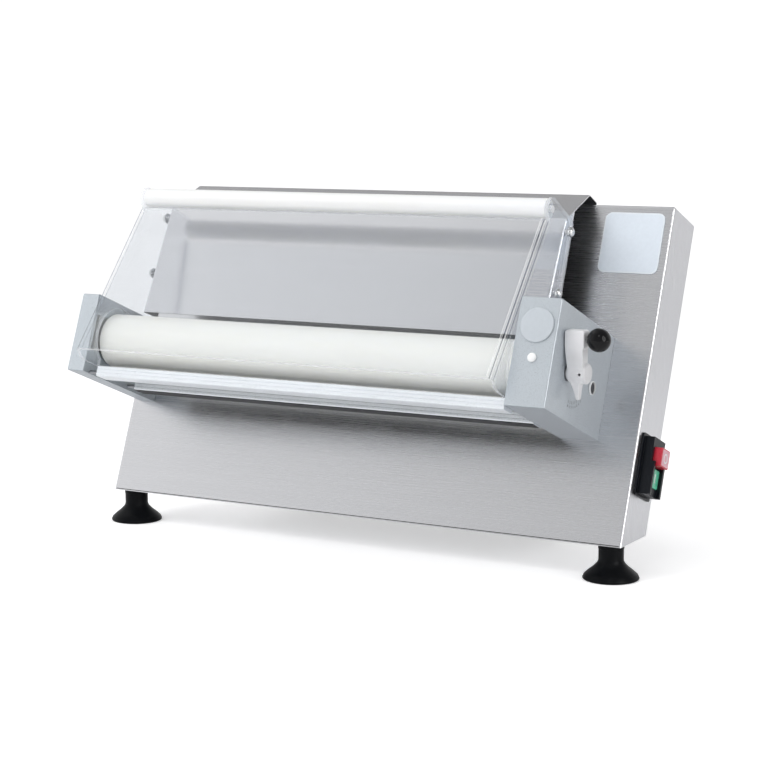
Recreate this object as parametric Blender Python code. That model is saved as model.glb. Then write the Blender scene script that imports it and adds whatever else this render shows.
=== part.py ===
"""Bench dough sheeter: a leaning steel cabinet, a covered infeed chute and one pair of geared rollers.

Every length is in metres. The machine stands on the plane Z = 0 with its front towards -Y.
Pieces of the leaning unit are drawn in the leaning frame: X runs to the right, "w" stands square out of
the cabinet's front face, towards the user, and "v" runs up that face from its bottom edge.
"""

import math

import bmesh
import bpy
from mathutils import Vector

# Fits
GAP = 0.0003
RUN = 0.0003
SLIDE = 0.0004

# Cabinet
CABINET_WIDTH = 0.680
CABINET_HEIGHT = 0.3886
CABINET_DEPTH = 0.0665
LEAN = math.radians(21.3)
SHEET = 0.0012
CABINET_BEND = 0.0025
TRAY_LIP = 0.014

# Rear housing, behind the leaning cabinet
HOUSING_HALF_WIDTH = 0.200
HOUSING_BACK_Y = 0.245
HOUSING_BACK_TOP = 0.215
HOUSING_TOP = 0.260
HOUSING_TOP_DEPTH = 0.045
REAR_PLATE = 0.0025

# Feet
FOOT_HEIGHT = 0.040
FOOT_RIM_RADIUS = 0.0313
FOOT_NECK_RADIUS = 0.0123
FOOT_INSET = 0.0195
FRONT_FOOT_Y = 0.0198
REAR_FOOT_Y = 0.2120

# Rollers
ROLLER_RADIUS = 0.032
ROLLER_CORE_RADIUS = 0.016
ROLLER_RISE = 0.050
FRONT_ROLLER_W = 0.1065
ROLLER_END_CLEARANCE = 0.0018
ROLLER_EDGE = 0.002
REAR_JOURNAL_RADIUS = 0.010
FRONT_JOURNAL_RADIUS = 0.0135
FRONT_JOURNAL_BORE = 0.0095
BUSH_WALL = 0.003

# Gap setting: an eccentric axle runs through the hollow front roller
GAP_TRAVEL = 0.0045
LEVER_SWING = math.radians(70)
AXLE_RADIUS = 0.006
ECCENTRIC_RADIUS = 0.0105
ECCENTRIC_WIDTH = 0.004
YOKE_STRAP = 0.0036
BLOCK_BACK = 0.0225
BLOCK_FRONT = 0.0358
BLOCK_HALF_HEIGHT = 0.021

# End boxes
BOX_DEPTH = 0.1525
BOX_BOTTOM = 0.115
LEFT_BOX_HEIGHT = 0.0950
RIGHT_BOX_HEIGHT = 0.1194
LEFT_BOX_INSET = 0.0095
LEFT_BOX_WIDTH = 0.0241
RIGHT_BOX_INSET = 0.0467
RIGHT_BOX_WIDTH = 0.0467
BOX_SHEET = 0.0015
BOX_BEND = 0.0018
BEARING_PLATE = 0.008
LEFT_BLOCK_LENGTH = 0.0121
RIGHT_BLOCK_LENGTH = 0.0133

# Gears
MODULE = 0.0025
ROLLER_TEETH = 26
IDLER_TEETH = 16
PINION_TEETH = 12
GEAR_WIDTH = 0.016
GEAR_INSET = 0.0159
ADDENDUM = 0.95
DEDENDUM = 1.25
TOOTH_ROOT_SHARE = 0.52
TOOTH_PITCH_SHARE = 0.43
TOOTH_TIP_SHARE = 0.22
IDLER_W = -0.009
DRIVE_W = -0.033
DRIVE_SHAFT_RADIUS = 0.008
IDLER_PIN_RADIUS = 0.006
BRACKET_PLATE = 0.006
BRACKET_INSET = 0.0004
BRACKET_BELOW_DRIVE = 0.040
BRACKET_ABOVE_IDLER = 0.039

# Gearmotor
MOTOR_Y = 0.170
MOTOR_Z = 0.130
MOTOR_RADIUS = 0.055
MOTOR_LENGTH = 0.200
GEARBOX_X = 0.085
GEARBOX_LENGTH = 0.045
GEARBOX_OUTPUT_RADIUS = 0.029
GEARBOX_MOTOR_RADIUS = 0.050
CRADLE_X = -0.085
CRADLE_LENGTH = 0.060
CRADLE_HALF_DEPTH = 0.036

# Chute hood
HOOD_LEFT_CLEARANCE = 0.0075
HOOD_RIGHT_CLEARANCE = 0.0081
CHUTE_FOOT_W = 0.071
CHUTE_FOOT_RISE = 0.0468
CHUTE_FOLD_W = 0.0585
CHUTE_FOLD_DROP = 0.0381
HOOD_APEX_W = 0.0088
HOOD_APEX_RISE = 0.0074
HOOD_TAIL = 0.016
HOOD_FLANGE_BACK_W = 0.041

# Acrylic guard
ACRYLIC = 0.004
GUARD_BACK_W = 0.0475
GUARD_BACK_DROP = 0.0366
GUARD_BACK_RISE = 0.0415
GUARD_FRONT_TOP_W = 0.1155
GUARD_FRONT_DROP = 0.0560
GUARD_FRONT_FOOT_W = 0.1810
GUARD_FRONT_FOOT_DROP = 0.0285
GUARD_CLEARANCE = 0.0042
GUARD_UNDER_DROP = 0.0388
GUARD_ROD_W = 0.106
GUARD_ROD_DROP = 0.0419
GUARD_ROD_RADIUS = 0.0118
GUARD_ROD_SPIGOT = 0.0042
GUARD_EAR_RADIUS = 0.0128
NUT_RADIUS = 0.0064
STUD_RADIUS = 0.0030
UPPER_NUT_W = 0.0545
UPPER_NUT_DROP = 0.0131
LOWER_NUT_W = 0.0600
LOWER_NUT_DROP = 0.0860

# Scrapers
FRONT_BAR_W = 0.128
FRONT_BAR_DEPTH = 0.022
FRONT_BAR_DROP = 0.0540
REAR_BAR_W = 0.050
REAR_BAR_DEPTH = 0.022
REAR_BAR_DROP = 0.0515
BAR_HEIGHT = 0.0128
BLADE = 0.0015
BLADE_CLEARANCE = 0.0008

# Thickness lever
HUB_RADIUS = 0.0115
HUB_LENGTH = 0.0212
LEVER_BLOCK_LOW = 0.0255
LEVER_BLOCK_TOP = 0.047
LEVER_BLOCK_WIDTH = 0.0227
LEVER_BLOCK_FRONT = 0.0126
LEVER_BLOCK_BACK = 0.0030
LEVER_ARM_FRONT = 0.0100
LEVER_ARM_BACK = 0.0050
KNOB_RADIUS = 0.0128
KNOB_LIFT = 0.0370
KNOB_FORWARD = 0.0051
PLUNGER_RADIUS = 0.003

# Switch on the cabinet's right side
SWITCH_W = -0.0332
SWITCH_V = 0.0970
SWITCH_PLATE_WIDTH = 0.046
SWITCH_PLATE_HEIGHT = 0.070
SWITCH_PLATE = 0.0020
SWITCH_BODY_WIDTH = 0.034
SWITCH_BODY_HEIGHT = 0.064
SWITCH_BODY_OUT = 0.0125
SWITCH_BODY_IN = 0.030
SWITCH_CHEEK = 0.0045
SWITCH_CHEEK_OUT = 0.0165
BUTTON_WIDTH = 0.0235
BUTTON_HEIGHT = 0.0210
BUTTON_SPACING = 0.0232
BUTTON_CENTRE_LIFT = 0.0113
BUTTON_POCKET = 0.0100
BUTTON_BACK = 0.0060
STOP_BUTTON_OUT = 0.0222
START_BUTTON_OUT = 0.0130
BUTTON_FIT = 0.0005

# Trim
LABEL_INSET = 0.045
LABEL_DROP = 0.0446
LABEL_WIDTH = 0.072
LABEL_HEIGHT = 0.071
LABEL_CORNER = 0.008
LABEL_THICKNESS = 0.0008
DISC_RISE = 0.0385
DISC_RADIUS = 0.019
DISC_THICKNESS = 0.0015
CAP_LIFT = 0.0032
CAP_RADIUS = 0.005
CAP_RISE = 0.0022
SHAFT_CAP_RADIUS = 0.0085
SHAFT_CAP_BORE = 0.0060
SHAFT_CAP_RISE = 0.0022

ROUND = 40
ROUND_SMALL = 20
BIG = 0.05

# Values that follow from the sizes above
CABINET_HALF = CABINET_WIDTH / 2
LEFT_BOX_OUTER = LEFT_BOX_INSET - CABINET_HALF
LEFT_BOX_INNER = LEFT_BOX_OUTER + LEFT_BOX_WIDTH
RIGHT_BOX_OUTER = CABINET_HALF - RIGHT_BOX_INSET
RIGHT_BOX_INNER = RIGHT_BOX_OUTER - RIGHT_BOX_WIDTH
LEFT_BOX_TOP = BOX_BOTTOM + LEFT_BOX_HEIGHT
RIGHT_BOX_TOP = BOX_BOTTOM + RIGHT_BOX_HEIGHT
ROLLER_V = BOX_BOTTOM + ROLLER_RISE
GEAR_X = RIGHT_BOX_INNER + GEAR_INSET
BRACKET_X = RIGHT_BOX_INNER + BRACKET_INSET
HOOD_LEFT = LEFT_BOX_INNER + HOOD_LEFT_CLEARANCE
HOOD_RIGHT = RIGHT_BOX_INNER - HOOD_RIGHT_CLEARANCE
CHUTE_FOOT_V = ROLLER_V + CHUTE_FOOT_RISE
CHUTE_FOLD_V = CABINET_HEIGHT - CHUTE_FOLD_DROP
GUARD_BACK_TOP_V = CABINET_HEIGHT - GUARD_BACK_DROP
GUARD_BACK_FOOT_V = ROLLER_V + GUARD_BACK_RISE
GUARD_FRONT_TOP_V = CABINET_HEIGHT - GUARD_FRONT_DROP
GUARD_FRONT_FOOT_V = ROLLER_V - GUARD_FRONT_FOOT_DROP
GUARD_UNDER_V = ROLLER_V - GUARD_UNDER_DROP
GUARD_ROD_V = CABINET_HEIGHT - GUARD_ROD_DROP
UPPER_NUT_V = CHUTE_FOLD_V - UPPER_NUT_DROP
LOWER_NUT_V = CHUTE_FOLD_V - LOWER_NUT_DROP
NUT_PLACES = {"upper": (UPPER_NUT_W, UPPER_NUT_V), "lower": (LOWER_NUT_W, LOWER_NUT_V)}
FRONT_BAR_V = ROLLER_V - FRONT_BAR_DROP
REAR_BAR_V = ROLLER_V - REAR_BAR_DROP
LABEL_X = CABINET_HALF - LABEL_INSET
LABEL_V = CABINET_HEIGHT - LABEL_DROP
DISC_V = ROLLER_V + DISC_RISE
CAP_V = ROLLER_V + CAP_LIFT
CENTRE_DISTANCE = MODULE * ROLLER_TEETH
REAR_ROLLER_W = FRONT_ROLLER_W - CENTRE_DISTANCE
LEVER_W = FRONT_ROLLER_W + GAP_TRAVEL / 2
ECCENTRICITY = GAP_TRAVEL / (2 * math.sin(LEVER_SWING / 2))
GEAR_END_X = GEAR_X + GEAR_WIDTH
LEFT_PLATE_OUTER = LEFT_BOX_INNER - BEARING_PLATE
RIGHT_PLATE_OUTER = RIGHT_BOX_INNER + BEARING_PLATE
ROLLER_LEFT = LEFT_BOX_INNER + ROLLER_END_CLEARANCE
ROLLER_RIGHT = RIGHT_BOX_INNER - ROLLER_END_CLEARANCE
ROLLER_MIDDLE = (ROLLER_LEFT + ROLLER_RIGHT) / 2
RIGHT_YOKE_X = GEAR_END_X + 7 * RUN
LEFT_YOKE_X = LEFT_BOX_INNER - LEFT_BLOCK_LENGTH - 12 * RUN - ECCENTRIC_WIDTH
YOKE_HALF_HEIGHT = ECCENTRIC_RADIUS + 0.007
GUARD_LEFT = HOOD_LEFT - GAP - ACRYLIC
GUARD_RIGHT = HOOD_RIGHT + GAP + ACRYLIC
REAR_BACK_FOOT_Y = CABINET_DEPTH / math.cos(LEAN)
ORIGIN_X = (STOP_BUTTON_OUT + FOOT_INSET - FOOT_RIM_RADIUS) / 2
GUARD_NOSE_Y = GUARD_FRONT_FOOT_V * math.sin(LEAN) - GUARD_FRONT_FOOT_W * math.cos(LEAN)
ORIGIN_Y = (HOUSING_BACK_Y + GUARD_NOSE_Y) / 2


def up_lean(height):
    """How far back the leaning face stands at this height above its bottom edge."""
    return height * math.tan(LEAN)


def to_lean(y, z):
    """(w, v) in the leaning frame of a point (y, z) measured from the cabinet's bottom front edge."""
    rise = z - FOOT_HEIGHT
    return rise * math.sin(LEAN) - y * math.cos(LEAN), rise * math.cos(LEAN) + y * math.sin(LEAN)


def from_lean(w, v):
    """(y, z) of a point of the leaning frame, the reverse of to_lean."""
    return v * math.sin(LEAN) - w * math.cos(LEAN), FOOT_HEIGHT + v * math.cos(LEAN) + w * math.sin(LEAN)


def clear_scene():
    """Remove whatever the scene holds."""
    for item in list(bpy.data.objects):
        bpy.data.objects.remove(item, do_unlink=True)


def finish(name, colour, roughness, metallic=0.0, alpha=1.0):
    """A Principled material, made once for each name."""
    material = bpy.data.materials.get(name)
    if material:
        return material
    material = bpy.data.materials.new(name)
    material.use_nodes = True
    shader = material.node_tree.nodes["Principled BSDF"]
    shader.inputs["Base Color"].default_value = (*colour, 1.0)
    shader.inputs["Roughness"].default_value = roughness
    shader.inputs["Metallic"].default_value = metallic
    shader.inputs["Alpha"].default_value = alpha
    return material


def brushed(name):
    return finish(name, (0.62, 0.63, 0.65), 0.32, 1.0)


def plain_steel(name):
    return finish(name, (0.50, 0.51, 0.53), 0.30, 1.0)


def painted(name):
    return finish(name, (0.56, 0.60, 0.64), 0.45, 0.5)


def white_plastic(name):
    return finish(name, (0.86, 0.86, 0.84), 0.40)


def black_plastic(name):
    return finish(name, (0.015, 0.016, 0.018), 0.35)


def rubber(name):
    return finish(name, (0.012, 0.012, 0.013), 0.70)


def bronze(name):
    return finish(name, (0.60, 0.42, 0.20), 0.35, 1.0)


def empty(name, parent, location=(0.0, 0.0, 0.0), lean=0.0):
    """A frame that pieces are parented to."""
    item = bpy.data.objects.new(name, None)
    item.empty_display_size = 0.02
    item.parent = parent
    item.location = location
    item.rotation_euler.x = -lean
    bpy.context.scene.collection.objects.link(item)
    return item


def add_object(name, shape, material, parent, location=(0.0, 0.0, 0.0), smooth=False):
    """Turn a bmesh into a named object in the scene."""
    bmesh.ops.recalc_face_normals(shape, faces=shape.faces)
    mesh = bpy.data.meshes.new(name)
    shape.to_mesh(mesh)
    shape.free()
    if smooth:
        mesh.shade_smooth()
        mesh.set_sharp_from_angle(angle=math.radians(35))
    if material:
        mesh.materials.append(material)
    item = bpy.data.objects.new(name, mesh)
    item.parent = parent
    item.location = location
    bpy.context.scene.collection.objects.link(item)
    return item


def along_x(a, b, h):
    """Outline in (w, v) of the leaning frame, drawn out along X."""
    return Vector((h, -a, b))


def along_x_upright(a, b, h):
    """Outline in (y, z), drawn out along X."""
    return Vector((h, a, b))


def along_y(a, b, h):
    """Outline in (x, z), drawn out along Y."""
    return Vector((a, h, b))


def along_out(a, b, h):
    """Outline in (x, v) of the leaning frame, drawn out square to the cabinet's front."""
    return Vector((a, -h, b))


def prism_mesh(outline, low, high, place):
    """A bmesh of the outline drawn out from low to high."""
    shape = bmesh.new()
    near = [shape.verts.new(place(a, b, low)) for a, b in outline]
    far = [shape.verts.new(place(a, b, high)) for a, b in outline]
    shape.faces.new(near)
    shape.faces.new(list(reversed(far)))
    for i in range(len(outline)):
        j = (i + 1) % len(outline)
        shape.faces.new([near[j], near[i], far[i], far[j]])
    return shape


def prism(name, outline, low, high, place, material, parent, location=(0.0, 0.0, 0.0)):
    """An outline drawn out into a solid object."""
    return add_object(name, prism_mesh(outline, low, high, place), material, parent, location)


def rectangle(a_low, a_high, b_low, b_high):
    return [(a_low, b_low), (a_high, b_low), (a_high, b_high), (a_low, b_high)]


def arc(centre, radius, start, end, steps):
    """Points on an arc, from the start angle to the end angle in degrees."""
    points = []
    for i in range(steps + 1):
        angle = math.radians(start + (end - start) * i / steps)
        points.append((centre[0] + radius * math.cos(angle), centre[1] + radius * math.sin(angle)))
    return points


def rounded_rectangle(a_low, a_high, b_low, b_high, radius, steps=4):
    """A rectangle with round corners, counter-clockwise."""
    corners = (
        ((a_high - radius, b_low + radius), -90),
        ((a_high - radius, b_high - radius), 0),
        ((a_low + radius, b_high - radius), 90),
        ((a_low + radius, b_low + radius), 180),
    )
    points = []
    for centre, start in corners:
        points += arc(centre, radius, start, start + 90, steps)
    return points


def ribbon(points, thickness):
    """The outline of a folded sheet whose middle line is given."""
    left, right = [], []
    for i, point in enumerate(points):
        here = Vector(point)
        before = (here - Vector(points[i - 1])).normalized() if i else None
        after = (Vector(points[i + 1]) - here).normalized() if i + 1 < len(points) else None
        before = before or after
        after = after or before
        normal = Vector((-before.y - after.y, before.x + after.x)).normalized()
        reach = thickness / 2 / normal.dot(Vector((-before.y, before.x)))
        left.append(tuple(here + normal * reach))
        right.append(tuple(here - normal * reach))
    return left + right[::-1]


def turned_mesh(profile, segments, axis="X", hollow=False):
    """A bmesh turned about an axis; the profile is a list of (along, radius)."""
    shape = bmesh.new()

    def point(along, radius, angle):
        a, b = radius * math.cos(angle), radius * math.sin(angle)
        return Vector((along, a, b)) if axis == "X" else Vector((a, b, along))

    rings = []
    for along, radius in profile:
        if radius == 0:
            rings.append([shape.verts.new(point(along, 0.0, 0.0))])
            continue
        rings.append(
            [shape.verts.new(point(along, radius, 2 * math.pi * i / segments)) for i in range(segments)]
        )
    pairs = list(zip(rings, rings[1:]))
    if hollow:
        pairs.append((rings[-1], rings[0]))
    for first, second in pairs:
        for i in range(segments):
            j = (i + 1) % segments
            corners = [first[i % len(first)], first[j % len(first)], second[j % len(second)], second[i % len(second)]]
            shape.faces.new(list(dict.fromkeys(corners)))
    return shape


def turned(name, profile, material, parent, location=(0.0, 0.0, 0.0), segments=ROUND, axis="X", hollow=False):
    """A turned object, shaded smooth."""
    shape = turned_mesh(profile, segments, axis, hollow)
    return add_object(name, shape, material, parent, location, smooth=True)


def ring(name, low, high, inner, outer, material, parent, location=(0.0, 0.0, 0.0), segments=ROUND_SMALL):
    """A plain ring along X."""
    profile = [(low, inner), (low, outer), (high, outer), (high, inner)]
    return turned(name, profile, material, parent, location, segments, hollow=True)


def rod_profile(low, high, radius):
    return [(low, 0.0), (low, radius), (high, radius), (high, 0.0)]


def hide_helper(item):
    item.hide_render = True
    item.display_type = "WIRE"
    return item


def combine(target, other, operation):
    """Add a Boolean to the target and keep the other object as a hidden helper."""
    hide_helper(other)
    modifier = target.modifiers.new(other.name, "BOOLEAN")
    modifier.operation = operation
    modifier.object = other
    modifier.solver = "EXACT"


def cut(target, other):
    combine(target, other, "DIFFERENCE")


def join(target, other):
    combine(target, other, "UNION")


def bore_x(target, low, high, radius, location, parent, segments=ROUND_SMALL):
    """Cut a round hole along X; the location is in the parent's frame."""
    name = f"{target.name}_bore_{len(target.modifiers)}"
    cut(target, turned(name, rod_profile(low, high, radius), None, parent, location, segments))


def bevel_where(shape, keep, radius, segments=2):
    """Round the edges whose two ends both pass the test."""
    edges = [edge for edge in shape.edges if keep(edge)]
    bmesh.ops.bevel(
        shape, geom=edges, offset=radius, segments=segments, profile=0.5, affect="EDGES", clamp_overlap=True
    )


def lean_point(x, w, v):
    return Vector((x, -w, v))


# Gears


def gear_outline(teeth, phase):
    """Straight-flanked teeth with a tooth centred at the phase angle, in (w, v) seen along X."""
    pitch_radius = MODULE * teeth / 2
    pitch_angle = 2 * math.pi / teeth
    root = pitch_radius - DEDENDUM * MODULE
    tip = pitch_radius + ADDENDUM * MODULE
    levels = ((root, TOOTH_ROOT_SHARE), (pitch_radius, TOOTH_PITCH_SHARE), (tip, TOOTH_TIP_SHARE))
    points = []
    for i in range(teeth):
        middle = phase + i * pitch_angle
        rising = [(radius, middle - pitch_angle * share / 2) for radius, share in levels]
        falling = [(radius, middle + pitch_angle * share / 2) for radius, share in reversed(levels)]
        points += [(radius * math.cos(angle), radius * math.sin(angle)) for radius, angle in rising + falling]
    return points


def gear(name, teeth, phase, bore, material, parent):
    """A spur gear about the parent's X axis."""
    item = prism(name, gear_outline(teeth, phase), GEAR_X, GEAR_END_X, along_x, material, parent)
    bore_x(item, GEAR_X - BIG, GEAR_END_X + BIG, bore, (0, 0, 0), parent)
    return item


def meshing_phase(teeth, phase, other_teeth, direction):
    """The phase that puts the other gear in mesh, where direction points from this gear to the other."""
    pitch_angle = 2 * math.pi / teeth
    other_pitch = 2 * math.pi / other_teeth
    here = ((direction - phase) / pitch_angle) % 1.0
    return direction + math.pi - (0.5 - here) * other_pitch


def train_centres():
    """(w, v) of the idler and of the drive shaft, from the gears' centre distances."""
    first = MODULE * (ROLLER_TEETH + IDLER_TEETH) / 2
    across = REAR_ROLLER_W - IDLER_W
    idler = (IDLER_W, ROLLER_V - math.sqrt(first**2 - across**2))
    second = MODULE * (IDLER_TEETH + PINION_TEETH) / 2
    across = IDLER_W - DRIVE_W
    drive = (DRIVE_W, idler[1] - math.sqrt(second**2 - across**2))
    return idler, drive


def heading(start, end):
    """The angle of the line from start to end, in (w, v)."""
    return math.atan2(end[1] - start[1], end[0] - start[0])


def gear_phases():
    """Phases of the front roller, rear roller, idler and pinion gears."""
    idler, drive = train_centres()
    rear_centre = (REAR_ROLLER_W, ROLLER_V)
    rear = 0.0
    front = meshing_phase(ROLLER_TEETH, rear, ROLLER_TEETH, 0.0)
    middle = meshing_phase(ROLLER_TEETH, rear, IDLER_TEETH, heading(rear_centre, idler))
    pinion = meshing_phase(IDLER_TEETH, middle, PINION_TEETH, heading(idler, drive))
    return front, rear, middle, pinion


# Cabinet


def cabinet_shell(lean):
    """Front, top and sides folded from one sheet, open at the back and below."""
    outline = [
        (0.0, 0.0),
        (0.0, CABINET_HEIGHT),
        (-CABINET_DEPTH, CABINET_HEIGHT),
        (-CABINET_DEPTH, up_lean(CABINET_DEPTH)),
    ]
    shape = prism_mesh(outline, -CABINET_HALF, CABINET_HALF, along_x)
    tiny = GAP / 10

    def on_bend(edge):
        ends = [vert.co for vert in edge.verts]
        on_front = all(co.y < tiny for co in ends)
        on_top = all(co.z > CABINET_HEIGHT - tiny for co in ends)
        along_bottom = all(co.z < tiny for co in ends)
        along_back = all(co.y > CABINET_DEPTH - tiny for co in ends)
        return (on_front or on_top) and not (along_bottom or along_back)

    bevel_where(shape, on_bend, CABINET_BEND)
    shell = add_object("cabinet_shell", shape, brushed("cabinet_steel"), lean)
    inside = CABINET_HALF - SHEET
    hollow = rectangle(-CABINET_DEPTH - BIG, -SHEET, -BIG, CABINET_HEIGHT - SHEET)
    cut(shell, prism("cabinet_inside", hollow, -inside, inside, along_x, None, lean))
    idler, _ = train_centres()
    reach = MODULE * IDLER_TEETH / 2 + MODULE + 5 * RUN
    window = rectangle(-BIG, BIG, idler[1] - reach, idler[1] + reach)
    cut(shell, prism("drive_window", window, GEAR_X - 10 * RUN, GEAR_END_X + 10 * RUN, along_x, None, lean))
    body = rectangle(
        SWITCH_W - SWITCH_BODY_WIDTH / 2,
        SWITCH_W + SWITCH_BODY_WIDTH / 2,
        SWITCH_V - SWITCH_BODY_HEIGHT / 2,
        SWITCH_V + SWITCH_BODY_HEIGHT / 2,
    )
    cut(shell, prism("switch_hole", body, CABINET_HALF - BIG / 5, CABINET_HALF + BIG, along_x, None, lean))


def gearbox_window():
    """(low v, high v) of the opening that the gearbox passes through in the back panel."""
    _, drive = train_centres()
    motor = to_lean(MOTOR_Y, MOTOR_Z)
    share = (CABINET_DEPTH + DRIVE_W) / (DRIVE_W - motor[0])
    middle = drive[1] + share * (motor[1] - drive[1])
    half = GEARBOX_OUTPUT_RADIUS + share * (GEARBOX_MOTOR_RADIUS - GEARBOX_OUTPUT_RADIUS) + BIG / 8
    return middle - half, middle + half


def back_panel(lean):
    """The flat sheet that closes the cabinet's back."""
    half = CABINET_HALF - SHEET - GAP
    outline = rectangle(
        -CABINET_DEPTH, SHEET - CABINET_DEPTH, up_lean(CABINET_DEPTH) + GAP, CABINET_HEIGHT - SHEET - GAP
    )
    panel = prism("back_panel", outline, -half, half, along_x, brushed("panel_steel"), lean)
    low, high = gearbox_window()
    window = rectangle(-2 * CABINET_DEPTH, 0.0, low, high)
    end = GEARBOX_X + GEARBOX_LENGTH
    cut(panel, prism("gearbox_window", window, GEARBOX_X - 10 * RUN, end + 10 * RUN, along_x, None, lean))


def base_tray(machine):
    """The cabinet's floor, with a leaning lip at the front and at the back."""
    slant = SHEET / math.cos(LEAN)
    front = (SHEET + GAP) / math.cos(LEAN)
    back = (CABINET_DEPTH - SHEET - GAP) / math.cos(LEAN)
    low, lip = FOOT_HEIGHT, FOOT_HEIGHT + TRAY_LIP
    floor = FOOT_HEIGHT + SHEET
    outline = [
        (front, low),
        (back, low),
        (back + up_lean(TRAY_LIP), lip),
        (back + up_lean(TRAY_LIP) - slant, lip),
        (back + up_lean(SHEET) - slant, floor),
        (front + up_lean(SHEET) + slant, floor),
        (front + up_lean(TRAY_LIP) + slant, lip),
        (front + up_lean(TRAY_LIP), lip),
    ]
    half = CABINET_HALF - SHEET - GAP
    prism("base_tray", outline, -half, half, along_x_upright, brushed("tray_steel"), machine)


def back_line(height):
    """The y of the cabinet's back face at this height above the floor, and a gap behind it."""
    return REAR_BACK_FOOT_Y + up_lean(height - FOOT_HEIGHT) + GAP / math.cos(LEAN)


def rear_housing(machine):
    """The cover over the gearmotor, behind the leaning cabinet, open towards it and below."""
    outer = [
        (back_line(FOOT_HEIGHT), FOOT_HEIGHT),
        (HOUSING_BACK_Y, FOOT_HEIGHT),
        (HOUSING_BACK_Y, HOUSING_BACK_TOP),
        (HOUSING_BACK_Y - HOUSING_TOP_DEPTH, HOUSING_TOP),
        (back_line(HOUSING_TOP), HOUSING_TOP),
    ]
    shape = prism_mesh(outer, -HOUSING_HALF_WIDTH, HOUSING_HALF_WIDTH, along_x_upright)
    housing = add_object("rear_housing", shape, brushed("housing_steel"), machine)
    inner = [
        (0.0, FOOT_HEIGHT - BIG),
        (HOUSING_BACK_Y - SHEET, FOOT_HEIGHT - BIG),
        (HOUSING_BACK_Y - SHEET, HOUSING_BACK_TOP - SHEET / 2),
        (HOUSING_BACK_Y - HOUSING_TOP_DEPTH - SHEET / 2, HOUSING_TOP - SHEET),
        (0.0, HOUSING_TOP - SHEET),
    ]
    half = HOUSING_HALF_WIDTH - SHEET
    cut(housing, prism("housing_inside", inner, -half, half, along_x_upright, None, machine))


def rear_base_plate(machine):
    """The plate under the gearmotor, which the rear feet are screwed to."""
    half = HOUSING_HALF_WIDTH - SHEET - GAP
    front = back_line(FOOT_HEIGHT + REAR_PLATE)
    outline = rectangle(front, HOUSING_BACK_Y - SHEET - GAP, FOOT_HEIGHT, FOOT_HEIGHT + REAR_PLATE)
    prism("rear_base_plate", outline, -half, half, along_x_upright, plain_steel("plate_steel"), machine)


def feet(machine):
    """Four rubber feet: a neck that flares down into a round rim."""
    rim, neck = FOOT_RIM_RADIUS, FOOT_NECK_RADIUS
    flare = rim - neck
    profile = [
        (0.0, 0.0),
        (0.0, rim - 0.0022),
        (0.0020, rim),
        (0.0060, rim),
        (0.0085, rim - 0.0025),
        (0.0110, neck + 0.45 * flare),
        (0.0160, neck + 0.14 * flare),
        (0.0230, neck),
        (FOOT_HEIGHT - GAP, neck),
        (FOOT_HEIGHT - GAP, 0.0),
    ]
    front_x = CABINET_HALF - FOOT_INSET
    rear_x = HOUSING_HALF_WIDTH - rim
    places = {
        "front_left": (-front_x, FRONT_FOOT_Y, 0.0),
        "front_right": (front_x, FRONT_FOOT_Y, 0.0),
        "rear_left": (-rear_x, REAR_FOOT_Y, 0.0),
        "rear_right": (rear_x, REAR_FOOT_Y, 0.0),
    }
    for place, location in places.items():
        turned(f"foot_{place}", profile, rubber("foot_rubber"), machine, location, segments=32, axis="Z")


# Chute and guard


def stud_holes(target, low, high, lean):
    for w, v in NUT_PLACES.values():
        bore_x(target, low, high, STUD_RADIUS + GAP, lean_point(0, w, v), lean, segments=12)


def chute_hood(lean):
    """Chute plate, sloping top and tail in one folded sheet, with a flange at each side."""
    tail_v = CABINET_HEIGHT + GAP + SHEET / 2
    line = [
        (CHUTE_FOOT_W, CHUTE_FOOT_V),
        (CHUTE_FOLD_W, CHUTE_FOLD_V),
        (HOOD_APEX_W, CABINET_HEIGHT + HOOD_APEX_RISE),
        (-HOOD_TAIL, tail_v),
    ]
    hood = prism("chute_hood", ribbon(line, SHEET), HOOD_LEFT, HOOD_RIGHT, along_x, brushed("chute_steel"), lean)
    apex_v = CABINET_HEIGHT + HOOD_APEX_RISE
    share = (CHUTE_FOLD_W - HOOD_FLANGE_BACK_W) / (CHUTE_FOLD_W - HOOD_APEX_W)
    flange = [
        (CHUTE_FOOT_W, CHUTE_FOOT_V),
        (CHUTE_FOLD_W, CHUTE_FOLD_V),
        (HOOD_FLANGE_BACK_W, CHUTE_FOLD_V + share * (apex_v - CHUTE_FOLD_V)),
        (HOOD_FLANGE_BACK_W, CHUTE_FOOT_V + SHEET),
    ]
    sides = {"left": (HOOD_LEFT, HOOD_LEFT + SHEET), "right": (HOOD_RIGHT - SHEET, HOOD_RIGHT)}
    for side, (low, high) in sides.items():
        join(hood, prism(f"chute_flange_{side}", flange, low, high, along_x, None, lean))
    stud_holes(hood, HOOD_LEFT - BIG / 10, HOOD_LEFT + BIG / 10, lean)
    stud_holes(hood, HOOD_RIGHT - BIG / 10, HOOD_RIGHT + BIG / 10, lean)


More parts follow.
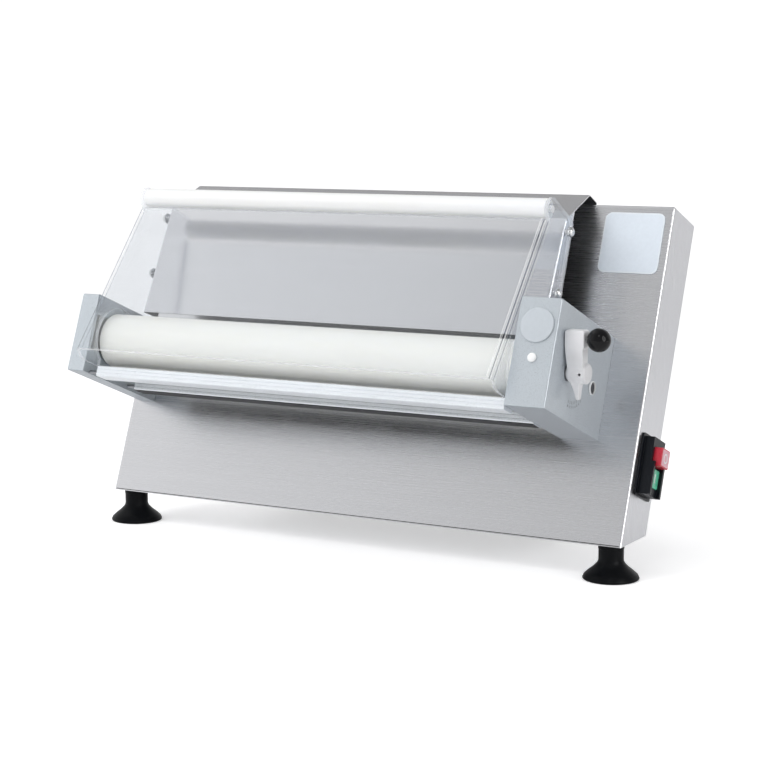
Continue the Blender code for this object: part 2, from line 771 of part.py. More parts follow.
def guard_side_outline():
    """One side plate of the guard: an ear round the rod, a slanted front and a notch round the roller."""
    rod = (GUARD_ROD_W, GUARD_ROD_V)
    notch = (LEVER_W, ROLLER_V)
    notch_radius = ROLLER_RADIUS + GAP_TRAVEL / 2 + GUARD_CLEARANCE
    lower_back_w = notch[0] + 0.63 * notch_radius
    start = -math.degrees(math.acos(0.63))
    nose = (GUARD_FRONT_FOOT_W, GUARD_FRONT_FOOT_V)
    outline = [(GUARD_BACK_W, GUARD_BACK_FOOT_V), (GUARD_BACK_W, GUARD_BACK_TOP_V)]
    outline += arc(rod, GUARD_EAR_RADIUS, 100, -50, 10)
    outline += [
        (GUARD_FRONT_TOP_W, GUARD_FRONT_TOP_V),
        nose,
        (nose[0] - 0.006, nose[1] - 0.0055),
        (nose[0] - 0.016, nose[1] - 0.0090),
        (nose[0] - 0.030, GUARD_UNDER_V),
        (lower_back_w, GUARD_UNDER_V),
    ]
    outline += arc(notch, notch_radius, start, 118, 12)
    outline += [(REAR_ROLLER_W + ROLLER_RADIUS, GUARD_BACK_FOOT_V)]
    return outline


def guard(lean):
    """Bent clear sheet: two side plates and the slanted front between them."""
    outline = guard_side_outline()
    clear = finish("guard_acrylic", (0.85, 0.89, 0.90), 0.05, alpha=0.3)
    item = prism("guard", outline, GUARD_LEFT, GUARD_LEFT + ACRYLIC, along_x, clear, lean)
    right = prism("guard_right_side", outline, GUARD_RIGHT - ACRYLIC, GUARD_RIGHT, along_x, None, lean)
    join(item, right)
    top = Vector((GUARD_FRONT_TOP_W, GUARD_FRONT_TOP_V))
    foot = Vector((GUARD_FRONT_FOOT_W, GUARD_FRONT_FOOT_V))
    run = (foot - top).normalized()
    inward = Vector((run.y, -run.x))
    if inward.x > 0:
        inward = -inward
    sheet = [top, foot, foot + inward * ACRYLIC, top + inward * ACRYLIC]
    outline = [tuple(point) for point in sheet]
    join(item, prism("guard_front_sheet", outline, GUARD_LEFT, GUARD_RIGHT, along_x, None, lean))
    spigot = lean_point(0, GUARD_ROD_W, GUARD_ROD_V)
    bore_x(item, GUARD_LEFT - BIG, GUARD_RIGHT + BIG, GUARD_ROD_SPIGOT + RUN, spigot, lean)
    stud_holes(item, GUARD_LEFT - BIG / 10, GUARD_LEFT + BIG / 10, lean)
    stud_holes(item, GUARD_RIGHT - BIG / 10, GUARD_RIGHT + BIG / 10, lean)


def guard_nuts(lean):
    """Studs with dome nuts that hold the guard to the chute's flanges."""
    inner, plate = SHEET + GAP, ACRYLIC + GAP
    thin, wide = STUD_RADIUS, NUT_RADIUS
    profile = [
        (-inner - 0.0020, 0.0),
        (-inner - 0.0020, 0.6 * wide),
        (-inner, 0.6 * wide),
        (-inner, thin),
        (plate, thin),
        (plate, wide),
        (plate + 0.0022, wide),
        (plate + 0.0042, 0.75 * wide),
        (plate + 0.0053, 0.35 * wide),
        (plate + 0.0055, 0.0),
    ]
    for side, (edge, sign) in {"left": (HOOD_LEFT, -1), "right": (HOOD_RIGHT, 1)}.items():
        for height, (w, v) in NUT_PLACES.items():
            shaped = [(sign * along, radius) for along, radius in profile]
            place = lean_point(edge, w, v)
            turned(f"guard_nut_{side}_{height}", shaped, finish("nut_chrome", (0.75, 0.76, 0.78), 0.12, 1.0), lean, place, 16)


def guard_rod(lean):
    """The white rod across the top of the guard, free to turn on its spigots."""
    axis = empty("guard_rod_axis", lean, lean_point(0, GUARD_ROD_W, GUARD_ROD_V))
    low, high = GUARD_LEFT + ACRYLIC + 2 * RUN, GUARD_RIGHT - ACRYLIC - 2 * RUN
    thin, wide = GUARD_ROD_SPIGOT, GUARD_ROD_RADIUS
    profile = [
        (GUARD_LEFT + RUN, 0.0),
        (GUARD_LEFT + RUN, thin),
        (low, thin),
        (low, wide - 0.001),
        (low + 0.001, wide),
        (high - 0.001, wide),
        (high, wide - 0.001),
        (high, thin),
        (GUARD_RIGHT - RUN, thin),
        (GUARD_RIGHT - RUN, 0.0),
    ]
    turned("guard_rod", profile, white_plastic("rod_plastic"), axis, segments=32)


# End boxes


def box_cover(name, low, high, top, open_low, lean):
    """A folded cover, open towards the cabinet and on its inner side."""
    outline = rectangle(GAP, BOX_DEPTH, BOX_BOTTOM, top)
    shape = prism_mesh(outline, low, high, along_x)
    outer_x = high if open_low else low
    tiny = GAP / 10

    def on_bend(edge):
        ends = [vert.co for vert in edge.verts]
        on_front = all(co.y < -BOX_DEPTH + tiny for co in ends)
        on_side = all(abs(co.x - outer_x) < tiny for co in ends)
        along_back = all(co.y > -GAP - tiny for co in ends)
        along_inner = all(abs(co.x - (low + high - outer_x)) < tiny for co in ends)
        return (on_front or on_side) and not (along_back or along_inner)

    bevel_where(shape, on_bend, BOX_BEND)
    cover = add_object(name, shape, painted("box_paint"), lean)
    hollow = rectangle(-BIG, BOX_DEPTH - BOX_SHEET, BOX_BOTTOM + BOX_SHEET, top - BOX_SHEET)
    inner_low = low - BIG if open_low else low + BOX_SHEET
    inner_high = high - BOX_SHEET if open_low else high + BIG
    cut(cover, prism(f"{name}_inside", hollow, inner_low, inner_high, along_x, None, lean))
    return cover


def end_boxes(lean):
    """The covers over the roller bearings: narrow on the left, wide over the gears on the right."""
    box_cover("left_box_cover", LEFT_BOX_OUTER, LEFT_BOX_INNER, LEFT_BOX_TOP, False, lean)
    right = box_cover("right_box_cover", RIGHT_BOX_INNER, RIGHT_BOX_OUTER, RIGHT_BOX_TOP, True, lean)
    wall = (RIGHT_BOX_OUTER - BIG / 10, RIGHT_BOX_OUTER + BIG / 10)
    lever = lean_point(0, LEVER_W, ROLLER_V)
    bore_x(right, *wall, AXLE_RADIUS + RUN + BUSH_WALL + GAP, lever, lean)
    bore_x(right, *wall, SHAFT_CAP_BORE, lean_point(0, REAR_ROLLER_W, ROLLER_V), lean)


def bearing_plate(name, low, top, lean):
    """The thick plate that closes a box's inner side: a bored seat behind, a sliding window in front."""
    edge = BOX_SHEET + GAP
    outline = rectangle(2 * GAP, BOX_DEPTH - edge, BOX_BOTTOM + edge, top - edge)
    plate = prism(name, outline, low, low + BEARING_PLATE, along_x, plain_steel("bearing_plate_steel"), lean)
    seat = REAR_JOURNAL_RADIUS + RUN + BUSH_WALL + GAP
    bore_x(plate, low - BIG, low + BIG, seat, lean_point(0, REAR_ROLLER_W, ROLLER_V), lean, ROUND)
    window = rectangle(
        FRONT_ROLLER_W - BLOCK_BACK - SLIDE,
        FRONT_ROLLER_W + BLOCK_FRONT + GAP_TRAVEL + SLIDE,
        ROLLER_V - BLOCK_HALF_HEIGHT - SLIDE,
        ROLLER_V + BLOCK_HALF_HEIGHT + SLIDE,
    )
    cut(plate, prism(f"{name}_window", window, low - BIG, low + BIG, along_x, None, lean))


def bearing_plates(lean):
    bearing_plate("left_bearing_plate", LEFT_PLATE_OUTER, LEFT_BOX_TOP, lean)
    bearing_plate("right_bearing_plate", RIGHT_BOX_INNER, RIGHT_BOX_TOP, lean)
    inner = REAR_JOURNAL_RADIUS + RUN
    seat = lean_point(0, REAR_ROLLER_W, ROLLER_V)
    for side, low in {"left": LEFT_PLATE_OUTER, "right": RIGHT_BOX_INNER}.items():
        ring(f"rear_bush_{side}", low, low + BEARING_PLATE, inner, inner + BUSH_WALL, bronze("bush_bronze"), lean, seat, 28)


# Rollers


def sleeve(name, parent, material):
    """The white roll pressed on its steel core."""
    inner = ROLLER_CORE_RADIUS + GAP
    low, high = ROLLER_LEFT, ROLLER_RIGHT
    profile = [
        (low, inner),
        (low, ROLLER_RADIUS - ROLLER_EDGE),
        (low + ROLLER_EDGE, ROLLER_RADIUS),
        (high - ROLLER_EDGE, ROLLER_RADIUS),
        (high, ROLLER_RADIUS - ROLLER_EDGE),
        (high, inner),
    ]
    turned(name, profile, material, parent, segments=48, hollow=True)


def rear_roller(lean, phase):
    """The fixed roller: sleeve, solid shaft and gear."""
    axis = empty("rear_roller_axis", lean, lean_point(0, REAR_ROLLER_W, ROLLER_V))
    sleeve("rear_roller", axis, white_plastic("roller_plastic"))
    thin, core = REAR_JOURNAL_RADIUS, ROLLER_CORE_RADIUS
    profile = [
        (LEFT_PLATE_OUTER - BEARING_PLATE / 2, 0.0),
        (LEFT_PLATE_OUTER - BEARING_PLATE / 2, thin),
        (ROLLER_LEFT, thin),
        (ROLLER_LEFT, core),
        (ROLLER_RIGHT, core),
        (ROLLER_RIGHT, thin),
        (GEAR_END_X + 5 * RUN, thin),
        (GEAR_END_X + 5 * RUN, 0.0),
    ]
    turned("rear_roller_shaft", profile, plain_steel("shaft_steel"), axis, segments=28)
    gear("rear_roller_gear", ROLLER_TEETH, phase, thin + GAP, plain_steel("gear_steel"), axis)


def front_roller(lean, phase):
    """The moving roller: sleeve, hollow shaft and gear."""
    axis = empty("front_roller_axis", lean, lean_point(0, FRONT_ROLLER_W, ROLLER_V))
    sleeve("front_roller", axis, white_plastic("roller_plastic"))
    bore, thin, core = FRONT_JOURNAL_BORE, FRONT_JOURNAL_RADIUS, ROLLER_CORE_RADIUS
    left_end = LEFT_BOX_INNER - LEFT_BLOCK_LENGTH - 4 * RUN
    right_end = GEAR_END_X + 2 * RUN
    profile = [
        (left_end, bore),
        (left_end, thin),
        (ROLLER_LEFT, thin),
        (ROLLER_LEFT, core),
        (ROLLER_RIGHT, core),
        (ROLLER_RIGHT, thin),
        (right_end, thin),
        (right_end, bore),
    ]
    turned("front_roller_shaft", profile, plain_steel("shaft_steel"), axis, segments=28, hollow=True)
    gear("front_roller_gear", ROLLER_TEETH, phase, thin + GAP, plain_steel("gear_steel"), axis)


# Gap setting


def block(name, low, high, carriage):
    """A bearing block that slides in its plate's window, bored for the front roller's bush."""
    outline = rectangle(-BLOCK_BACK, BLOCK_FRONT, -BLOCK_HALF_HEIGHT, BLOCK_HALF_HEIGHT)
    item = prism(name, outline, low, high, along_x, plain_steel("block_steel"), carriage)
    seat = FRONT_JOURNAL_RADIUS + RUN + BUSH_WALL + GAP
    bore_x(item, low - BIG, high + BIG, seat, (0, 0, 0), carriage, 28)


def yoke(name, low, strap_low, strap_high, carriage):
    """A plate with a tall slot for the eccentric, strapped round to the front of its block."""
    front = BLOCK_FRONT + GAP
    high = low + ECCENTRIC_WIDTH
    back = ECCENTRIC_RADIUS + 0.0055
    outline = rectangle(-back, front + YOKE_STRAP, -YOKE_HALF_HEIGHT, YOKE_HALF_HEIGHT)
    item = prism(name, outline, low, high, along_x, plain_steel("yoke_steel"), carriage)
    half = ECCENTRIC_RADIUS + SLIDE
    lowest = ECCENTRICITY * math.cos(LEVER_SWING / 2)
    slot = rectangle(-half, half, lowest - half - SLIDE, ECCENTRICITY + half + SLIDE)
    cut(item, prism(f"{name}_slot", slot, low - BIG, high + BIG, along_x, None, carriage))
    strap = rectangle(front, front + YOKE_STRAP, -BLOCK_HALF_HEIGHT / 2, BLOCK_HALF_HEIGHT / 2)
    join(item, prism(f"{name}_strap", strap, strap_low, strap_high, along_x, None, carriage))


def front_carriage(lean):
    """Both bearing blocks with their bushes and yokes."""
    carriage = empty("front_carriage_axis", lean, lean_point(0, FRONT_ROLLER_W, ROLLER_V))
    left_low = LEFT_BOX_INNER - LEFT_BLOCK_LENGTH
    left = (left_low, LEFT_BOX_INNER - RUN)
    right = (RIGHT_BOX_INNER + RUN, RIGHT_BOX_INNER + RIGHT_BLOCK_LENGTH)
    inner = FRONT_JOURNAL_RADIUS + RUN
    for side, (low, high) in {"left": left, "right": right}.items():
        block(f"{side}_bearing_block", low, high, carriage)
        ring(f"front_bush_{side}", low, high, inner, inner + BUSH_WALL, bronze("bush_bronze"), carriage, segments=28)
    yoke("left_yoke", LEFT_YOKE_X, LEFT_YOKE_X, LEFT_PLATE_OUTER - 2 * RUN, carriage)
    right_end = RIGHT_YOKE_X + ECCENTRIC_WIDTH
    yoke("right_yoke", RIGHT_YOKE_X, RIGHT_PLATE_OUTER + 5 * RUN, right_end, carriage)


def gap_axle(lean):
    """The axle through the hollow roller, with an eccentric at each end and its bush in the box's wall."""
    axis = empty("lever_axis", lean, lean_point(0, LEVER_W, ROLLER_V))
    low = LEFT_BOX_OUTER + BOX_SHEET + 3 * RUN
    high = RIGHT_BOX_OUTER + 0.75 * HUB_LENGTH
    turned("gap_axle", rod_profile(low, high, AXLE_RADIUS), plain_steel("axle_steel"), axis, segments=24)
    start = -LEVER_SWING / 2
    offset = lean_point(0, ECCENTRICITY * math.sin(start), ECCENTRICITY * math.cos(start))
    for side, at in {"left": LEFT_YOKE_X, "right": RIGHT_YOKE_X}.items():
        profile = rod_profile(at, at + ECCENTRIC_WIDTH, ECCENTRIC_RADIUS)
        cam = turned(f"{side}_eccentric", profile, bronze("eccentric_bronze"), axis, offset, 32)
        bore_x(cam, at - BIG, at + BIG, AXLE_RADIUS + GAP, (0, 0, 0), axis)
    wall = (RIGHT_BOX_OUTER - 2 * BOX_SHEET, RIGHT_BOX_OUTER + GAP)
    inner = AXLE_RADIUS + RUN
    place = lean_point(0, LEVER_W, ROLLER_V)
    ring("lever_bush", *wall, inner, inner + BUSH_WALL, bronze("bush_bronze"), lean, place)


def thickness_lever(machine):
    """The hand lever: hub with a set screw hole, block above, pointer below."""
    y, z = from_lean(LEVER_W, ROLLER_V)
    x = RIGHT_BOX_OUTER
    axis = empty("lever_hub_axis", machine, (x, y, z))
    grey = finish("lever_plastic", (0.80, 0.80, 0.79), 0.45)
    hub = turned("thickness_lever", rod_profile(2 * GAP, HUB_LENGTH, HUB_RADIUS), grey, axis, segments=32)
    arm = [
        (0.0012, LEVER_BLOCK_LOW),
        (0.0020, 0.0),
        (0.0070, -HUB_RADIUS),
        (0.0105, -0.0285),
        (0.0155, -0.0285),
        (0.0165, -0.0125),
        (HUB_LENGTH - 0.0010, -0.0060),
        (HUB_LENGTH, 0.0),
        (HUB_LENGTH + 0.0015, LEVER_BLOCK_LOW),
        (HUB_LENGTH - 0.0005, LEVER_BLOCK_LOW + 0.0100),
        (0.0014, LEVER_BLOCK_LOW + 0.0100),
    ]
    join(hub, prism("lever_arm", arm, -LEVER_ARM_FRONT, LEVER_ARM_BACK, along_y, None, axis))
    head = rounded_rectangle(0.0008, 0.0008 + LEVER_BLOCK_WIDTH, LEVER_BLOCK_LOW, LEVER_BLOCK_TOP, 0.002, 3)
    join(hub, prism("lever_head", head, -LEVER_BLOCK_FRONT, LEVER_BLOCK_BACK, along_y, None, axis))
    bore_x(hub, -BIG / 10, 0.80 * HUB_LENGTH, AXLE_RADIUS + GAP, (0, 0, 0), axis)
    bore_x(hub, -BIG, BIG, PLUNGER_RADIUS + RUN, (0, -KNOB_FORWARD, KNOB_LIFT), axis, 16)
    return axis


def index_plunger(axis):
    """The pull pin through the lever's block, with its black ball knob."""
    knob_x = 0.0008 + LEVER_BLOCK_WIDTH + KNOB_RADIUS + 0.0010
    place = (0, -KNOB_FORWARD, KNOB_LIFT)
    flat = knob_x - 0.95 * KNOB_RADIUS
    steel = plain_steel("plunger_steel")
    turned("plunger_pin", rod_profile(2 * GAP, flat - GAP, PLUNGER_RADIUS), steel, axis, place, 16)
    profile = [(flat, 0.0)]
    first = math.acos(-0.95)
    steps = 12
    for i in range(steps):
        angle = first * (1 - i / steps)
        profile.append((knob_x + KNOB_RADIUS * math.cos(angle), KNOB_RADIUS * math.sin(angle)))
    profile.append((knob_x + KNOB_RADIUS, 0.0))
    turned("ball_knob", profile, black_plastic("knob_plastic"), axis, place, 28)


# Drive


def idler_and_drive(lean, idler_phase, pinion_phase):
    """The gear bracket inside the cabinet with the idler gear, drive shaft and pinion."""
    idler, drive = train_centres()
    steel = plain_steel("gear_steel")
    high = BRACKET_X + BRACKET_PLATE
    foot, head = drive[1] - BRACKET_BELOW_DRIVE, idler[1] + BRACKET_ABOVE_IDLER
    outline = rectangle(SHEET + 2 * GAP - CABINET_DEPTH, -SHEET - GAP, foot, head)
    bracket = prism("gear_bracket", outline, BRACKET_X, high, along_x, plain_steel("bracket_steel"), lean)
    drive_place = lean_point(0, *drive)
    idler_place = lean_point(0, *idler)
    bore_x(bracket, BRACKET_X - BIG, high + BIG, DRIVE_SHAFT_RADIUS + RUN, drive_place, lean, 28)
    bore_x(bracket, BRACKET_X - BIG, high + BIG, IDLER_PIN_RADIUS + GAP, idler_place, lean, 24)
    pin = [
        (BRACKET_X - 0.003, 0.0),
        (BRACKET_X - 0.003, 1.25 * IDLER_PIN_RADIUS),
        (BRACKET_X - GAP, 1.25 * IDLER_PIN_RADIUS),
        (BRACKET_X - GAP, IDLER_PIN_RADIUS),
        (GEAR_END_X, IDLER_PIN_RADIUS),
        (GEAR_END_X, 0.0),
    ]
    turned("idler_pin", pin, plain_steel("pin_steel"), lean, idler_place, 24)
    idler_axis = empty("idler_axis", lean, idler_place)
    gear("idler_gear", IDLER_TEETH, idler_phase, IDLER_PIN_RADIUS + RUN, steel, idler_axis)
    drive_axis = empty("drive_axis", lean, drive_place)
    shaft = rod_profile(GEARBOX_X + 5 * RUN, GEAR_END_X + 3 * RUN, DRIVE_SHAFT_RADIUS)
    turned("drive_shaft", shaft, plain_steel("shaft_steel"), drive_axis, segments=24)
    gear("drive_pinion", PINION_TEETH, pinion_phase, DRIVE_SHAFT_RADIUS + GAP, steel, drive_axis)


def gearbox(lean):
    """The flat gearbox that reaches from the motor to the drive shaft."""
    _, drive = train_centres()
    motor = to_lean(MOTOR_Y, MOTOR_Z)
    distance = math.dist(drive, motor)
    turn = math.degrees(heading(motor, drive))
    lap = math.degrees(math.acos((GEARBOX_MOTOR_RADIUS - GEARBOX_OUTPUT_RADIUS) / distance))
    outline = arc(drive, GEARBOX_OUTPUT_RADIUS, turn - lap, turn + lap, 12)
    outline += arc(motor, GEARBOX_MOTOR_RADIUS, turn + lap, turn + 360 - lap, 20)
    end = GEARBOX_X + GEARBOX_LENGTH
    box = prism("gearbox", outline, GEARBOX_X, end, along_x, finish("gearbox_grey", (0.35, 0.37, 0.39), 0.5, 0.6), lean)
    bore_x(box, GEARBOX_X - BIG / 10, end + BIG, DRIVE_SHAFT_RADIUS + RUN, lean_point(0, *drive), lean, 24)


def drive_motor(machine):
    """The motor behind the gearbox, with its fan cowl, and the cradle under it."""
    end = GEARBOX_X - GAP
    start = end - MOTOR_LENGTH
    cowl = MOTOR_RADIUS - 0.003
    profile = [
        (start, 0.0),
        (start, cowl - 0.008),
        (start + 0.006, cowl),
        (start + 0.045, cowl),
        (start + 0.045, MOTOR_RADIUS),
        (end - 0.012, MOTOR_RADIUS),
        (end - 0.012, cowl),
        (end, cowl),
        (end, 0.0),
    ]
    place = (0, MOTOR_Y, MOTOR_Z)
    turned("drive_motor", profile, finish("motor_grey", (0.22, 0.24, 0.26), 0.5, 0.4), machine, place, 36)
    floor = FOOT_HEIGHT + REAR_PLATE + GAP
    top = MOTOR_Z - 0.45 * MOTOR_RADIUS
    outline = rectangle(MOTOR_Y - CRADLE_HALF_DEPTH, MOTOR_Y + CRADLE_HALF_DEPTH, floor, top)
    steel = plain_steel("cradle_steel")
    cradle = prism("motor_cradle", outline, CRADLE_X, CRADLE_X + CRADLE_LENGTH, along_x_upright, steel, machine)
    bore_x(cradle, CRADLE_X - BIG, CRADLE_X + CRADLE_LENGTH + BIG, MOTOR_RADIUS + GAP, place, machine, 72)


# Scrapers


def scraper_bar(name, w, depth, v, lean):
    """An aluminium bar across the machine, between the bearing plates."""
    outline = rounded_rectangle(w, w + depth, v, v + BAR_HEIGHT, 0.002, 3)
    metal = finish("scraper_aluminium", (0.70, 0.71, 0.72), 0.35, 1.0)
    prism(name, outline, LEFT_BOX_INNER + GAP, RIGHT_BOX_INNER - GAP, along_x, metal, lean)


def scraper_blade(name, root, tip_w, lean):
    """A thin blade from its bar to just under the roller."""
    tip = (tip_w, ROLLER_V - ROLLER_RADIUS - BLADE_CLEARANCE - BLADE / 2)
    outline = ribbon([root, tip], BLADE)
    spring = finish("blade_steel", (0.66, 0.67, 0.69), 0.25, 1.0)
    prism(name, outline, ROLLER_LEFT, ROLLER_RIGHT, along_x, spring, lean)


def scrapers(lean):
    """A bar and a blade under each roller."""
    scraper_bar("front_scraper_bar", FRONT_BAR_W, FRONT_BAR_DEPTH, FRONT_BAR_V, lean)
    scraper_bar("rear_scraper_bar", REAR_BAR_W, REAR_BAR_DEPTH, REAR_BAR_V, lean)
    front_root = (FRONT_BAR_W - BLADE / 2, FRONT_BAR_V + 0.6 * BAR_HEIGHT)
    scraper_blade("front_scraper_blade", front_root, LEVER_W, lean)
    rear_root = (REAR_BAR_W + 0.006, REAR_BAR_V + BAR_HEIGHT + BLADE)
    scraper_blade("rear_scraper_blade", rear_root, REAR_ROLLER_W + 0.006, lean)


# Switch and trim


def button_v(lift):
    return SWITCH_V + lift


def switch(lean):
    """The no-volt switch: flange, housing with two pockets, guard cheeks and the body inside."""
    outer = CABINET_HALF
    black = black_plastic("switch_plastic")
    half_w, half_v = SWITCH_PLATE_WIDTH / 2, SWITCH_PLATE_HEIGHT / 2
    outline = rounded_rectangle(SWITCH_W - half_w, SWITCH_W + half_w, SWITCH_V - half_v, SWITCH_V + half_v, 0.003)
    plate = prism("switch_housing", outline, outer + GAP, outer + SWITCH_PLATE, along_x, black, lean)
    half_w, half_v = SWITCH_BODY_WIDTH / 2, SWITCH_BODY_HEIGHT / 2
    raised = rectangle(SWITCH_W - half_w, SWITCH_W + half_w, SWITCH_V - half_v, SWITCH_V + half_v)
    join(plate, prism("switch_raised", raised, outer + SWITCH_PLATE / 2, outer + SWITCH_BODY_OUT, along_x, None, lean))
    for side in (-1, 1):
        edge = SWITCH_W + side * half_w
        low, high = sorted((edge, edge - side * SWITCH_CHEEK))
        cheek = rectangle(low, high, SWITCH_V - half_v, SWITCH_V + SWITCH_BODY_HEIGHT / 12)
        piece = prism(f"switch_cheek_{side}", cheek, outer + SWITCH_PLATE, outer + SWITCH_CHEEK_OUT, along_x, None, lean)
        join(plate, piece)
    half_w, half_v = half_w - GAP, half_v - GAP
    inner = rectangle(SWITCH_W - half_w, SWITCH_W + half_w, SWITCH_V - half_v, SWITCH_V + half_v)
    join(plate, prism("switch_inside", inner, outer - SWITCH_BODY_IN, outer + SWITCH_PLATE, along_x, None, lean))
    for name, lift in {"stop": BUTTON_CENTRE_LIFT, "start": BUTTON_CENTRE_LIFT - BUTTON_SPACING}.items():
        middle = button_v(lift)
        half_w, half_v = BUTTON_WIDTH / 2 + BUTTON_FIT, BUTTON_HEIGHT / 2 + BUTTON_FIT
        pocket = rectangle(SWITCH_W - half_w, SWITCH_W + half_w, middle - half_v, middle + half_v)
        floor = outer + SWITCH_BODY_OUT - BUTTON_POCKET
        cut(plate, prism(f"{name}_pocket", pocket, floor, outer + BIG, along_x, None, lean))


def buttons(lean):
    """The red stop button stands proud; the green start button is recessed."""
    red = finish("stop_plastic", (0.72, 0.06, 0.07), 0.35)
    green = finish("start_plastic", (0.10, 0.55, 0.36), 0.35)
    makes = {
        "stop_button": (BUTTON_CENTRE_LIFT, STOP_BUTTON_OUT, red),
        "start_button": (BUTTON_CENTRE_LIFT - BUTTON_SPACING, START_BUTTON_OUT, green),
    }
    for name, (lift, reach, colour) in makes.items():
        axis = empty(f"{name}_axis", lean, lean_point(CABINET_HALF, SWITCH_W, button_v(lift)))
        half_w, half_v = BUTTON_WIDTH / 2, BUTTON_HEIGHT / 2
        outline = rounded_rectangle(-half_w, half_w, -half_v, half_v, 0.0015, 2)
        prism(name, outline, BUTTON_BACK, reach, along_x, colour, axis)


def trim(lean):
    """The bare label plate, the disc and cap on the right box, and the ring at the rear shaft's end."""
    half_x, half_v = LABEL_WIDTH / 2, LABEL_HEIGHT / 2
    outline = rounded_rectangle(LABEL_X - half_x, LABEL_X + half_x, LABEL_V - half_v, LABEL_V + half_v, LABEL_CORNER)
    pale = finish("label_pale", (0.78, 0.82, 0.85), 0.4)
    prism("label_plate", outline, GAP, GAP + LABEL_THICKNESS, along_out, pale, lean)
    middle = (RIGHT_BOX_INNER + RIGHT_BOX_OUTER) / 2
    low = BOX_DEPTH + GAP
    outline = arc((middle, DISC_V), DISC_RADIUS, 0, 351, 39)
    prism("cover_disc", outline, low, low + DISC_THICKNESS, along_out, finish("disc_pale", (0.80, 0.81, 0.80), 0.4), lean)
    outline = arc((middle, CAP_V), CAP_RADIUS, 0, 342, 19)
    prism("cover_cap", outline, low, low + CAP_RISE, along_out, finish("cap_pale", (0.82, 0.83, 0.84), 0.3), lean)
    at = RIGHT_BOX_OUTER + GAP
    place = lean_point(0, REAR_ROLLER_W, ROLLER_V)
    grey = finish("ring_pale", (0.82, 0.83, 0.84), 0.35)
    ring("shaft_cap", at, at + SHAFT_CAP_RISE, SHAFT_CAP_BORE, SHAFT_CAP_RADIUS, grey, lean, place, 28)


def main():
    clear_scene()
    machine = empty("machine", None, (-ORIGIN_X, -ORIGIN_Y, 0.0))
    lean = empty("leaning_unit", machine, (0.0, 0.0, FOOT_HEIGHT), LEAN)
    front_phase, rear_phase, idler_phase, pinion_phase = gear_phases()
    cabinet_shell(lean)
    back_panel(lean)
    base_tray(machine)
    rear_housing(machine)
    rear_base_plate(machine)
    feet(machine)
    chute_hood(lean)
    guard(lean)
    guard_nuts(lean)
    guard_rod(lean)
    end_boxes(lean)
    bearing_plates(lean)
    rear_roller(lean, rear_phase)
    front_roller(lean, front_phase)
    front_carriage(lean)
    gap_axle(lean)
    lever_axis = thickness_lever(machine)
    index_plunger(lever_axis)
    idler_and_drive(lean, idler_phase, pinion_phase)
    gearbox(lean)
    drive_motor(machine)
    scrapers(lean)
    switch(lean)
    buttons(lean)
    trim(lean)


main()
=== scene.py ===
"""Looks of a bench dough sheeter: finishes, bent sheet, rollers, guard, lever, switch and small fittings."""

import logging
import math
from collections.abc import Sequence
from dataclasses import dataclass
from enum import Enum
from typing import Any

import bmesh
import bpy
from mathutils import Matrix, Vector


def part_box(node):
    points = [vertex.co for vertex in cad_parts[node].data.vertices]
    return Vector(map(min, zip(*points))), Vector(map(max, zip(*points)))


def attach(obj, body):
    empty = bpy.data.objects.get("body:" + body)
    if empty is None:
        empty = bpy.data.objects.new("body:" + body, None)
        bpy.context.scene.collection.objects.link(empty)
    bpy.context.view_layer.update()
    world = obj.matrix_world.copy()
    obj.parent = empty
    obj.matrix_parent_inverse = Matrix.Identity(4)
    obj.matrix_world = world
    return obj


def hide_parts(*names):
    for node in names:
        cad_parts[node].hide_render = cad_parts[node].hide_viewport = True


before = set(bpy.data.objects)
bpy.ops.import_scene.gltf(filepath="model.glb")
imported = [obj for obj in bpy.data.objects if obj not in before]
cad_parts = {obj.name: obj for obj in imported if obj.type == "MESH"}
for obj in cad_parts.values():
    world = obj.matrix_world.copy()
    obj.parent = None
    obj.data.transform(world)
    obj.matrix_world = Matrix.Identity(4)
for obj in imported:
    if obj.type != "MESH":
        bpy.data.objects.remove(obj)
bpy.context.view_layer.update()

log = logging.getLogger("dough_sheeter")

Colour = tuple[float, float, float]
Pair = tuple[float, float]
Triple = tuple[float, float, float]
Shape = bmesh.types.BMesh

LEAN = math.radians(21.3)
SHEET = 0.0012
NEAR = 1e-6
QUARTER_X = (math.pi / 2, 0.0, 0.0)
SIDEWAYS = Matrix.Rotation(math.pi / 2, 4, "Z") @ Matrix.Rotation(math.pi / 2, 4, "X")
FACING = 0.7
SHARP = 32.0
DOWN = Vector((0.0, 0.0, -1.0))
BACK = Vector((0.0, 1.0, 0.0))


# ---------------------------------------------------------------------------------------------------------
# Shader maths


